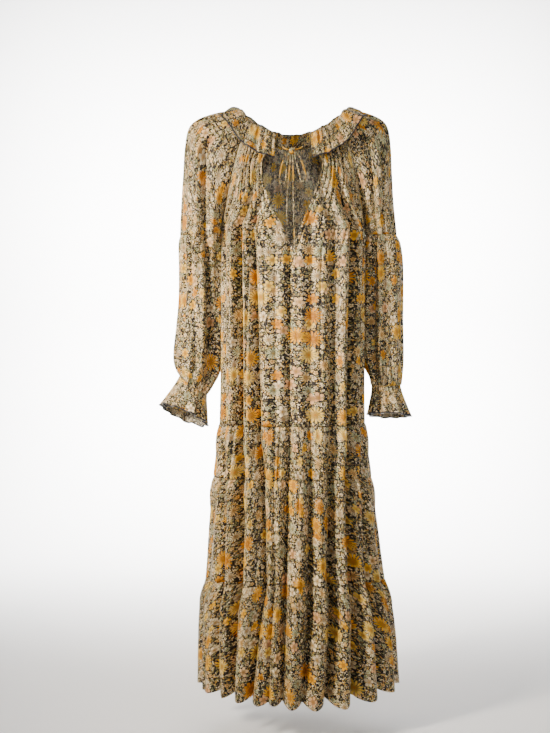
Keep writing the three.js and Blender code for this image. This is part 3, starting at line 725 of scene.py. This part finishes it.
def sleeve_fold(side, degrees_round, z):
    folds = SLEEVE_FOLDS[side]
    to_elbow = ramp(-60, -300, z)
    to_wrist = ramp(-300, -560, z)
    strength = ramp(-20, -160, z) * (1 - 0.8 * ramp(-530, -580, z))
    depth = np.zeros(np.shape(z))
    for row in range(len(folds["depth"])):
        centre = mix(folds["shoulder"][row], folds["elbow"][row], to_elbow)
        centre = mix(centre, folds["wrist"][row], to_wrist)
        away = np.abs(degrees_round - centre) / (0.72 * folds["spread"][row])
        valley = np.exp(-(away**1.25))
        depth += folds["depth"][row] * strength * valley
    return depth * SLEEVE_FOLD_STRENGTH


def upper_sleeve_points(side, columns, rows):
    """Points of an upper sleeve. Columns run from 1 at its front seam to -1 at its back seam."""
    column, row = np.meshgrid(columns, rows)

    def station(name):
        return read(STATIONS, name, row, key="place")

    seam = station("seam")
    underarm = np.maximum(row - CREASE_END, 0) * UNDERARM_GAP
    inner = read(BODY, SIDES[side], seam) + underarm
    crease = np.maximum(read(BODY, "crease", seam), 0)
    outer = station("outer_" + SIDES[side])
    height = station("height")
    half_depth = station("depth")
    across = vectors(side * (outer - inner), 0.0, height - seam)
    length = np.linalg.norm(across, axis=-1)
    outward = across / length[..., None]
    flat = np.sqrt(unit(1 - (crease / half_depth) ** 2))
    width = length / (1 + flat)
    turn_most = np.arccos(-flat)
    turn = turn_most * column
    fade = 1 - np.abs(column) ** 6
    degrees_round = np.degrees(turn)
    fold = sleeve_fold(side, degrees_round, seam) * fade
    seed = 90 + side
    around = turn * 50
    from_neck = np.hypot(outer - outer[0], height - height[0])
    gathers = fading(ripple, around * 0.8, SLEEVE_RIPPLES, seed, from_neck)
    gathers += fading(pipes, around * 0.8, SLEEVE_PIPES, seed + 1, from_neck)
    to_seam = np.clip((CREASE_END + 1 - row) * 30, 0, 400)
    low_ripples = waves(ripple, around, LOW_RIPPLES, seed + 2)
    gathers += low_ripples * (1 - np.exp(-from_neck / 50))
    gathers -= pinch(to_seam, ELBOW_PINCH)
    lift = gathers * fade - fold
    ridge = vectors(side * outer, 0.0, height)
    points = ridge - outward * width[..., None]
    points += outward * ((width + lift) * np.cos(turn))[..., None]
    points[..., 1] -= (half_depth + lift) * np.sin(turn)
    at_edge = unit((np.abs(column) - 1) * 9 + 1)
    points[..., 0] += side * RAGLAN_EDGE * at_edge
    under = ramp(CREASE_END - 1, CREASE_END, row)
    points[..., 1] -= np.sign(column) * SEAM_EDGE * at_edge * under
    uv = vectors(turn * 84 + 30 * side, from_neck * 1.05) * MM
    return points, uv + PRINT_START["upper"] + side


def make_upper_sleeve(side):
    rows = np.linspace(0, CREASE_END + 1, 64)
    points, uv = upper_sleeve_points(side, np.linspace(1, -1, 97), rows)
    normals = grid_normals(points) * side
    for column in (0, -1):
        normals[rows >= CREASE_END, column, 1] = 0
    normals = normalized(normals)
    piece = ClothMesh()
    piece.add_sheet(points, normals, uv, flip=side < 0)
    return piece


def ring_points(side, sizes, index, turn, lift):
    """Points on tilted rings, at a turn from the outer side over the front."""
    def ring(name):
        return read(sizes, name, index, key="place")

    tilt = np.radians(ring("tilt"))
    nod = np.radians(ring("nod"))
    outward = vectors(side * np.cos(tilt), 0.0, np.sin(tilt))
    along = vectors(side * np.sin(tilt), 0.0, -np.cos(tilt))
    backward = along * np.sin(nod)[..., None]
    backward[..., 1] += np.cos(nod)
    points = vectors(side * ring("centre"), ring("back"), ring("z"))
    points += outward * ((ring("width") + lift) * np.cos(turn))[..., None]
    return points - backward * ((ring("depth") + lift) * np.sin(turn))[..., None]


def round_grid(count, last, row_count):
    """Rows down a tube and turns round it, for a grid of points."""
    turns = TURN * np.arange(count) / count
    return np.meshgrid(np.linspace(0, last, row_count), turns, indexing="ij")


def add_round_sheet(piece, points, side, reach, start):
    """A closed sheet round a sleeve. reach is its cloth's width for each radian."""
    normals = grid_normals(points, closed=True) * -side
    across = np.linspace(0, TURN, points.shape[1] + 1) * reach
    steps = np.linalg.norm(np.diff(points, axis=0), axis=-1).mean(axis=1)
    uv = vectors(*np.meshgrid(across, -running(steps))) * MM + start
    piece.add_sheet(points, normals, uv, closed=True, flip=side > 0)
    return normals


def make_lower_sleeve(side):
    sizes = LOWER_SLEEVES[side]
    index, turn = round_grid(132, len(sizes["z"]) - 1, 92)
    z = read(sizes, "z", index, key="place")
    drop = sizes["z"][0] - z
    rise = z - sizes["z"][-1]
    degrees_round = np.degrees(np.where(turn > math.pi, turn - TURN, turn))
    seed = 120 + side
    fine = np.sin(34 * turn + 1.3 * np.sin(3 * turn + side)) * np.exp(-drop / 14)
    at_wrist = np.sin(30 * turn + 1.4 * np.sin(2 * turn)) * np.exp(-rise / 20)
    broad = np.sin(15 * turn + 1.1 * np.sin(2 * turn + side))
    lift = 0.5 * fine + 1.2 * at_wrist
    lift += broad * (1.4 + 1.4 * np.exp(-rise / 90))
    slow = np.sin(7 * turn + 0.004 * drop + 1.2 * np.sin(turn + side)) * ramp(0, 60, drop)
    lift += 2.2 * slow * ramp(0, 60, rise)
    creases = np.sin(drop / 21 + 2.1 * np.sin(turn + 0.6) + seed) * ramp(120, 250, drop)
    lift += 0.8 * creases * ramp(0, 50, rise)
    lift -= pinch(drop, LOWER_TOP_PINCH) + pinch(rise, WRIST_PINCH)
    points = ring_points(side, sizes, index, turn, lift - sleeve_fold(side, degrees_round, z))
    points[0, :, 2] -= 2 * SEAM_EDGE
    piece = ClothMesh()
    add_round_sheet(piece, points, side, 72, PRINT_START["lower"] + side)
    return piece


def make_cuff(side):
    sizes = CUFFS[side]
    index, turn = round_grid(210, len(sizes["z"]) - 1, 26)
    rise = index / 2
    height = CUFF_WAVE_HEIGHT + 2.4 * np.sin(3 * turn + 1)
    wander = 1.3 * np.sin(turn) + 0.9 * np.sin(2 * turn + 1)
    wave = np.cos(CUFF_WAVES * turn + wander) * height * rise**1.3
    small = np.sin(23 * turn + 1.2 * np.sin(2 * turn + side)) * rise**0.8 * 0.9
    pleats = np.sin(30 * turn + 1.4 * np.sin(2 * turn)) * np.exp(-rise * 5)
    points = ring_points(side, sizes, index, turn, wave + small + pleats)
    piece = ClothMesh()
    normals = add_round_sheet(piece, points, side, 62, PRINT_START["cuff"] + side)
    edge = points[-1] - normals[-1] * CLOTH / 2
    piece.add_tube(edge, PIPING, closed=True)
    return piece


# The collar is one ruffled strip on the neck edge, and it rolls over at the front
COLLAR_FALL = {"back": 30.0, "shoulder": 101.0, "front": 163.0}
COLLAR_OUT = 0.9
COLLAR_DOWN = 2.0
COLLAR_WAVES = 17
COLLAR_WAVE_HEIGHT = 3
COLLAR_RIPPLES = (1.5, 15)
COLLAR_GATHERS = (1, 8)
NECK_WIDTH = 110
NECK_DEPTH = 52
PIPING = 1.6


def neck_edge():
    """The neck edge from the left end of the slit round the back to its right end."""
    halves = []
    columns = np.linspace(CREASE_END, CREASE_END + NECK_COLUMNS, 61)[1:]
    sleeve_columns = np.linspace(1, -1, 41)
    for side in SIDES:
        front = half_points(1, side, columns[::-1], np.zeros(1))[0][0]
        sleeve = upper_sleeve_points(side, sleeve_columns, np.zeros(1))[0][0]
        back = half_points(-1, side, columns, np.zeros(1))[0][0]
        halves.append(np.vstack([front, sleeve, back]))
    return np.vstack([halves[0], halves[1][-2::-1]])


def smooth_along(line, passes):
    for _ in range(passes):
        line[1:-1] = (line[:-2] + 2 * line[1:-1] + line[2:]) / 4
    return line


def resample(line, count):
    run = run_along(line)
    at = np.linspace(0, run[-1], count)
    return vectors(*(np.interp(at, run, axis) for axis in line.T)), run[-1]


def collar_surface(count=440, row_count=27, steps=64):
    base, length = resample(smooth_along(neck_edge(), 3), count)
    outward = normalized(vectors(base[:, 0] / NECK_WIDTH**2, base[:, 1] / NECK_DEPTH**2, 0.0))
    to_front = np.maximum(-outward[:, 1], 0) ** 3
    to_back = np.maximum(outward[:, 1], 0) ** 1.6
    to_shoulder = outward[:, 0] ** 4
    at_shoulder = COLLAR_FALL["shoulder"] + 9 * to_shoulder
    fall = at_shoulder * (1 - to_front - to_back)
    fall += COLLAR_FALL["front"] * to_front + COLLAR_FALL["back"] * to_back
    fall = np.radians(fall)
    along = np.linspace(0, 1, count)
    from_end = 64 * np.minimum(along, 1 - along)
    width = 1 - 0.12 * np.exp(-from_end / 3) + 0.22 * to_front - 0.32 * to_back
    width *= COLLAR_WIDTH
    point = base + outward * COLLAR_OUT - np.array([0, 0, COLLAR_DOWN])
    lines = [point]
    roll_end = mix(mix(25, 19, to_shoulder), 18, to_front)
    for step in range(steps):
        run = width * (step + 0.5) / steps
        lean = mix(math.radians(6), fall, ramp(4, roll_end, run))
        move = outward * np.sin(lean)[:, None]
        move[:, 2] = np.cos(lean)
        point = point + move * (width / steps)[:, None]
        lines.append(point)
    lines = np.array(lines)
    share = np.linspace(0, 1, row_count)
    low = np.minimum((share * steps).astype(int), steps - 1)
    part = (share * steps - low)[:, None, None]
    points = lines[low] * (1 - part) + lines[low + 1] * part
    share = share[:, None]
    turn = along * TURN
    girth = along * length
    calm = 1 - 0.5 * to_shoulder - 0.6 * to_back
    wave = np.cos(COLLAR_WAVES * turn) * COLLAR_WAVE_HEIGHT * share**1.5 * calm
    wave += waves(ripple, girth, COLLAR_RIPPLES, 7) * share**1.2 * np.exp(-share * 0.4)
    wave += waves(ripple, girth, COLLAR_GATHERS, 8) * np.exp(-share * 5) * unit(share * 12)
    move = outward * np.cos(fall)[:, None]
    move[:, 2] = -np.sin(fall)
    points += move[None] * wave[..., None]
    return points, girth, width


def make_collar():
    points, girth, width = collar_surface()
    normals = grid_normals(points) * -1
    rows = np.linspace(0, 1, len(points))[:, None]
    uv = vectors(girth * 1.7, rows * width)
    piece = ClothMesh()
    piece.add_sheet(points, normals, uv * MM + PRINT_START["collar"])
    edge = points[-1] - normals[-1] * CLOTH / 2
    piece.add_tube(edge, PIPING)
    return piece


# Printed cloth: flowers and leaves on a dark ground, laid out at random
class Shader:
    """Short ways to add nodes to one material. An input is a value or another node's output."""

    def __init__(self, name):
        self.material = bpy.data.materials.new(name)
        self.material.use_nodes = True
        self.tree = self.material.node_tree
        self.surface = self.tree.nodes["Principled BSDF"]

    def put(self, node, inputs):
        for name, value in inputs.items():
            if isinstance(value, bpy.types.NodeSocket):
                self.tree.links.new(value, node.inputs[name])
            else:
                node.inputs[name].default_value = value

    def node(self, kind, inputs, **settings):
        node = self.tree.nodes.new("ShaderNode" + kind)
        for name, value in settings.items():
            setattr(node, name, value)
        self.put(node, inputs)
        return node

    def math(self, operation, *values):
        return self.node("Math", dict(enumerate(values)), operation=operation).outputs[0]

    def vector(self, operation, *values):
        return self.node("VectorMath", dict(enumerate(values)), operation=operation).outputs[0]

    def noise(self, place, scale, detail):
        inputs = {"Vector": place, "Scale": scale, "Detail": detail}
        return self.node("TexNoise", inputs, noise_dimensions="2D").outputs

    def blend(self, share, first, second, kind="MIX"):
        inputs = {"Factor": share, "A": first, "B": second}
        return self.node("Mix", inputs, data_type="RGBA", blend_type=kind).outputs["Result"]

    def soft_step(self, value, low, high):
        inputs = {"Value": value, "From Min": low, "From Max": high}
        return self.node("MapRange", inputs, interpolation_type="SMOOTHSTEP").outputs["Result"]

    def palette(self, chance, colours):
        node = self.node("ValToRGB", {0: chance})
        node.color_ramp.interpolation = "CONSTANT"
        stops = node.color_ramp.elements
        while len(stops) < len(colours):
            stops.new(1.0)
        for index, colour in enumerate(colours):
            stops[index].position = index / len(colours)
            stops[index].color = (*colour, 1)
        return node.outputs["Color"]

    def cells(self, place, size, shift, randomness):
        """Random cells of a size in metres: the way from each middle, and three chances."""
        moved = self.vector("ADD", place, (shift, shift * 0.7, 0))
        scaled = self.vector("MULTIPLY", moved, (1 / size, 1 / size, 0))
        inputs = {"Vector": scaled, "Scale": 1, "Randomness": randomness}
        cell = self.node("TexVoronoi", inputs, voronoi_dimensions="2D")
        away = self.vector("SUBTRACT", scaled, cell.outputs["Position"])
        parts = self.node("SeparateXYZ", {0: away}).outputs
        chances = self.node("SeparateColor", {0: cell.outputs["Color"]}).outputs
        return parts[0], parts[1], chances

    def leaf(self, x, y, chance, long, wide):
        """A pointed leaf round a cell's middle: 1 on it and 0 off it."""
        work = self.math
        angle = work("MULTIPLY", chance, 40.0)
        cosine = work("COSINE", angle)
        sine = work("SINE", angle)
        along = work("ADD", work("MULTIPLY", x, cosine), work("MULTIPLY", y, sine))
        side = work("SUBTRACT", work("MULTIPLY", y, cosine), work("MULTIPLY", x, sine))
        along = work("ABSOLUTE", work("DIVIDE", along, long))
        side = work("ABSOLUTE", work("DIVIDE", side, wide))
        return self.soft_step(work("ADD", work("POWER", along, 1.6), side), 1.12, 0.9)

    def flower(self, x, y, chance, petals, size, waist, sharpness):
        """How far out a point of a cell is, as a share of its petal and of the flower."""
        work = self.math
        far = work("SQRT", work("ADD", work("MULTIPLY", x, x), work("MULTIPLY", y, y)))
        angle = work("ADD", work("ARCTAN2", y, x), work("MULTIPLY", chance, 20.0))
        lobe = work("ABSOLUTE", work("COSINE", work("MULTIPLY", angle, petals / 2)))
        lobe = work("POWER", lobe, sharpness)
        reach = work("MULTIPLY_ADD", lobe, size * (1 - waist), size * waist)
        return work("DIVIDE", far, reach), work("DIVIDE", far, size), lobe


GROUND = (0.014, 0.011, 0.009, 1)
DARK = (0.018, 0.012, 0.008, 1)
SMALL_LEAVES = (
    (0.9, 0.73, 0.45), (0.2, 0.17, 0.06), (0.64, 0.42, 0.14), (0.22, 0.16, 0.08),
    (0.56, 0.32, 0.07), (0.27, 0.25, 0.13), (0.7, 0.56, 0.38), (0.12, 0.09, 0.05),
)
SPRIGS = (
    (0.3, 0.25, 0.09), (0.66, 0.51, 0.26), (0.22, 0.2, 0.11), (0.7, 0.44, 0.14),
    (0.36, 0.34, 0.18),
)
DAISIES = (
    (0.88, 0.7, 0.4), (0.62, 0.47, 0.27), (0.46, 0.46, 0.26), (0.8, 0.5, 0.18),
    (0.7, 0.55, 0.32),
)
ROUND_FLOWERS = (
    (0.68, 0.38, 0.17), (0.82, 0.54, 0.26), (0.58, 0.46, 0.28), (0.86, 0.68, 0.4),
)
BLOSSOMS = (
    (0.8, 0.37, 0.014), (0.84, 0.44, 0.03), (0.66, 0.27, 0.012), (0.8, 0.52, 0.1),
)
DEEP_PETAL = (0.33, 0.22, 0.14, 1)
HEART = (0.3, 0.17, 0.04, 1)
BLOSSOM_HEART = (0.42, 0.17, 0.02, 1)
CREAM = (1.0, 0.86, 0.62, 1)
DARK_RIM = 0.0011

# Layers of the print. The first three columns are the cells' size and shift in metres and the
# share of them that is filled. Then come a leaf's length, width and colours in its cell, or a
# flower's petals, reach, waist, sharpness, colours and heart.
LEAVES = (
    (0.0044, 0.11, 0.9, 0.5, 0.23, SMALL_LEAVES),
    (0.006, 0.37, 0.75, 0.52, 0.2, SMALL_LEAVES),
    (0.0095, 0.73, 0.5, 0.5, 0.17, SPRIGS),
)
FLOWERS = (
    (0.011, 1.17, 0.26, 5, 0.42, 0.22, 0.6, DAISIES, 0.2),
    (0.027, 1.61, 0.3, 12, 0.47, 0.06, 1.2, DAISIES, 0.15),
    (0.029, 2.09, 0.18, 5, 0.43, 0.12, 0.6, ROUND_FLOWERS, 0.18),
    (0.027, 3.37, 0.13, 6, 0.43, 0.2, 0.6, BLOSSOMS, 0.18),
    (0.042, 2.71, 0.25, 14, 0.44, 0.16, 0.9, BLOSSOMS, 0.17),
)


def add_print(shader):
    """The colour of the printed cloth, layer over layer."""
    place = shader.node("UVMap", {}, uv_map="cloth").outputs[0]
    wander = shader.noise(place, 160, 1)["Color"]
    centred = shader.vector("SUBTRACT", wander, (0.5, 0.5, 0.5))
    small = shader.vector("MULTIPLY", centred, (0.0022, 0.0022, 0))
    place = shader.vector("ADD", place, small)
    work = shader.math
    step = shader.soft_step
    colour = GROUND
    for size, shift, presence, long, wide, colours in LEAVES:
        x, y, chances = shader.cells(place, size, shift, 0.85)
        shape = shader.leaf(x, y, chances[0], long, wide)
        there = work("LESS_THAN", chances[1], presence)
        tint = shader.palette(chances[2], colours)
        colour = shader.blend(work("MULTIPLY", shape, there), colour, tint)
    for size, shift, presence, petals, reach, waist, sharpness, colours, heart in FLOWERS:
        x, y, chances = shader.cells(place, size, shift, 0.9)
        out, far, lobe = shader.flower(x, y, chances[0], petals, reach, waist, sharpness)
        there = work("LESS_THAN", chances[1], presence)
        rim = DARK_RIM / (size * reach)
        surround = work("MULTIPLY", step(out, 1.1 + rim, 1.0 + rim), there)
        petal = work("MULTIPLY", step(out, 1.02, 0.94), there)
        veins = work("MULTIPLY", step(lobe, 0.55, 0.15), 0.95)
        shade = work("MULTIPLY", step(far, 0.62, 0.26), 0.7)
        depth = work("MAXIMUM", veins, shade)
        tint = shader.palette(chances[2], colours)
        tint = shader.blend(depth, tint, DEEP_PETAL, kind="MULTIPLY")
        middle = work("MULTIPLY", step(far, heart, heart - 0.07), there)
        colour = shader.blend(surround, colour, DARK)
        colour = shader.blend(petal, colour, tint)
        colour = shader.blend(middle, colour, BLOSSOM_HEART if colours is BLOSSOMS else HEART)
    return place, colour


def cloth_material(name, pale_reverse_and_painted_light, roughness, sheen):
    """Printed cloth. The wash pales it, partly as the back of a print is paler and partly as
    painted light that brightens the shaded inside of the dress.
    """
    shader = Shader(name)
    place, colour = add_print(shader)
    # Partly painted light: the gamma and the cream wash brighten the reverse side, which lines the
    # shaded inside of the dress.
    if pale_reverse_and_painted_light:
        paler = shader.node("Gamma", {"Color": colour, "Gamma": 0.52}).outputs["Color"]
        colour = shader.blend(pale_reverse_and_painted_light, paler, CREAM)
    weave = shader.noise(place, 900, 1)["Fac"]
    crepe = shader.noise(place, 110, 3)["Fac"]
    height = shader.math("ADD", weave, shader.math("MULTIPLY", crepe, 4.0))
    bump = shader.node("Bump", {"Strength": 0.35, "Distance": 0.0006, "Height": height})
    shader.put(shader.surface, {
        "Base Color": colour,
        "Roughness": roughness,
        "Specular IOR Level": 0.22,
        "Sheen Weight": sheen,
        "Sheen Roughness": 0.45,
        "Sheen Tint": (1.0, 0.95, 0.88, 1),
        "Normal": bump.outputs["Normal"],
    })
    return shader.material


def plain_material(name, colour, roughness, sheen=0.0):
    shader = Shader(name)
    shader.put(shader.surface, {
        "Base Color": (*colour, 1),
        "Roughness": roughness,
        "Sheen Weight": sheen,
    })
    return shader.material


# The ties
TIE_DIAMETER = 3.0
KNOT = (-2, -68, -78)
KNOT_SIZE = (6.6, 4.4, 6.8)
KNOT_REACH = 7.2
TIES = {
    "tie_strand_left": (None, 155, [
        (-32.8, -51, -47), (-29, -54, -58), (-20, -61, -70), (-13, -66, -74.5),
    ]),
    "tie_strand_right": (None, 25, [
        (34.8, -51, -47), (30, -54, -58), (19, -61, -70), (9, -66, -74.5),
    ]),
    "tie_loop_left": (190, 222, [
        (-14, -70, -84), (-21, -73, -102), (-26, -75.5, -122), (-28, -77, -139),
        (-26, -78, -148), (-21, -78, -151), (-16.5, -77.5, -146), (-14.5, -76, -133),
        (-12.5, -73.5, -113), (-10, -70.5, -94),
    ]),
    "tie_loop_right": (-10, -42, [
        (10, -70, -84), (18, -73, -99), (24, -75, -117), (27.5, -76.5, -131),
        (26, -77.5, -140), (21, -77.5, -143.5), (16, -77, -138), (13.5, -75.5, -126),
        (9.5, -73, -109), (6, -70.5, -93),
    ]),
    "tie_tail_left": (255, None, [
        (-5, -70, -97), (-8, -74, -130), (-11, -78, -170), (-12.5, -80.5, -205),
        (-11, -82.5, -236),
    ]),
    "tie_tail_right": (285, None, [
        (0.5, -69.5, -97), (1, -73, -125), (1.5, -77, -165), (2, -80.5, -205),
        (3, -83.5, -245), (4, -85.5, -282),
    ]),
}


def knot_end(degrees_round):
    turn = math.radians(degrees_round)
    x, y, z = KNOT
    return (x + KNOT_REACH * math.cos(turn), y, z + KNOT_REACH * math.sin(turn))


def curve_through(points, spacing):
    """A smooth line through points."""
    points = np.array(points, dtype=float)
    rows = {"run": run_along(points)}
    rows.update(zip("xyz", points.T))
    at = np.linspace(0, rows["run"][-1], max(int(rows["run"][-1] / spacing), 8))
    return vectors(*(read(rows, axis, at, key="run") for axis in "xyz"))


def make_tie(name, material):
    start, end, route = TIES[name]
    points = list(route)
    if start is not None:
        points.insert(0, knot_end(start))
    if end is not None:
        points.append(knot_end(end))
    path = curve_through(points, 2.0)
    piece = ClothMesh()
    piece.add_tube(path, TIE_DIAMETER / 2, sides=12)
    tie = piece.build(f"{name}_cord", [material] * 3)
    stand_for(tie, name)


def make_knot(material):
    """The knot: a round wrap of the tie, a little creased."""
    bpy.ops.mesh.primitive_uv_sphere_add(segments=40, ring_count=24, radius=1)
    knot = bpy.context.object
    knot.name = "tie_knot_wrap"
    wide, deep, high = KNOT_SIZE
    for vertex in knot.data.vertices:
        x, y, z = vertex.co
        fit = 1 - 0.1 * math.sin(4.5 * z + 1.6 * x) ** 2
        vertex.co = (Vector((x * wide * fit, y * deep * fit, z * high)) + Vector(KNOT)) * MM
    for face in knot.data.polygons:
        face.use_smooth = True
    cloth_map = knot.data.uv_layers[0]
    cloth_map.name = "cloth"
    for corner in cloth_map.data:
        corner.uv = corner.uv * 0.045 + Vector((0.31, 0.12))
    knot.data.materials.append(material)
    stand_for(knot, "tie_knot")


printed = cloth_material("printed_cloth", 0.0, 0.55, 0.03)
# The reverse side is paler, partly as the back of the print is and partly as painted light for the
# shaded inside of the dress.
reverse = cloth_material("printed_cloth_reverse", 0.08, 0.75, 0.0)
hem_thread = plain_material("dark_edge", (0.012, 0.01, 0.011), 0.6)
piping_cloth = plain_material("edge_piping", (0.01, 0.009, 0.01), 0.5, 0.1)
tie_cloth = cloth_material("tie_cloth", 0.0, 0.6, 0.0)

for tie_name in TIES:
    make_tie(tie_name, tie_cloth)
make_knot(tie_cloth)


def declare(piece, node, cut, materials):
    cloth = piece.build(f"{node}_cloth", materials, weld=cut == "body")
    stand_for(cloth, node)


plain = [printed, reverse, hem_thread]
piped = [printed, reverse, piping_cloth]
for face, face_name in FACES.items():
    declare(make_body(face), f"body_{face_name}", "body", plain)
    for number in range(len(TIERS)):
        tier_name = f"tier_{number + 1}"
        declare(make_tier(number, face), f"{tier_name}_{face_name}", tier_name, plain)
for side, side_name in SIDES.items():
    declare(make_upper_sleeve(side), f"sleeve_upper_{side_name}", "sleeve_upper", plain)
    declare(make_lower_sleeve(side), f"sleeve_lower_{side_name}", "sleeve_lower", plain)
    declare(make_cuff(side), f"cuff_ruffle_{side_name}", "cuff", piped)
declare(make_collar(), "collar_ruffle", "collar", [printed, printed, piping_cloth])

# Studio, in metres: a pale floor that curves up into a backdrop, and soft light
FLOOR = -1.33
FLOOR_FRONT = -9.0
CURVE_START = 1.4
CURVE_SIZE = 0.9
CURVE_STEPS = 12
BACKDROP_TOP = 7.0
STUDIO_SIDE = 14.0


def make_studio():
    profile = [(FLOOR_FRONT, FLOOR), (CURVE_START, FLOOR)]
    for step in range(1, CURVE_STEPS + 1):
        turn = step / CURVE_STEPS * math.pi / 2
        y = CURVE_START + CURVE_SIZE * math.sin(turn)
        profile.append((y, FLOOR + CURVE_SIZE * (1 - math.cos(turn))))
    profile.append((CURVE_START + CURVE_SIZE, BACKDROP_TOP))
    points = []
    faces = []
    for x in (-STUDIO_SIDE, STUDIO_SIDE):
        points.extend((x, y, z) for y, z in profile)
    count = len(profile)
    for index in range(count - 1):
        faces.append((index, index + 1, count + index + 1, count + index))
    mesh = bpy.data.meshes.new("studio")
    mesh.from_pydata(points, [], faces)
    for face in mesh.polygons:
        face.use_smooth = True
    mesh.materials.append(plain_material("studio_paper", (0.86, 0.85, 0.84), 0.9))
    add_object("studio", mesh)


def add_light(name, place, target, size, power, colour, spread):
    data = bpy.data.lights.new(name, "AREA")
    data.spread = math.radians(spread)
    data.shape = "RECTANGLE"
    data.size, data.size_y = size
    data.energy = power
    data.color = colour
    look_at(add_object(name, data), place, target)


make_studio()
WARM = (1.0, 0.97, 0.92)
add_light("key", (-1.45, -1.0, 0.1), (0, 0, -0.5), (0.3, 0.3), 15.5, (1.0, 0.91, 0.78), 75)
add_light("fill", (1.4, -1.3, 0.1), (0.15, 0, -0.5), (0.6, 0.6), 3.2, (1.0, 0.98, 0.96), 85)
add_light("front", (0.05, -1.8, 0.1), (0, 0, -0.35), (0.4, 0.4), 1.3, WARM, 60)
add_light("above", (0.0, -0.1, 1.2), (0, 0, 0), (0.8, 0.5), 2.5, WARM, 180)
for side, side_name in SIDES.items():
    place = (side * 2.2, 0.6, 0.9)
    target = (-side * 0.3, 2.3, -0.5)
    add_light(f"backdrop_{side_name}", place, target, (1.2, 1.6), 190, (1, 1, 1), 60)

world = bpy.data.worlds.new("world")
world.use_nodes = True
background = world.node_tree.nodes["Background"].inputs
background["Color"].default_value = (0.96, 0.97, 1.0, 1)
background["Strength"].default_value = 0.09
bpy.context.scene.world = world
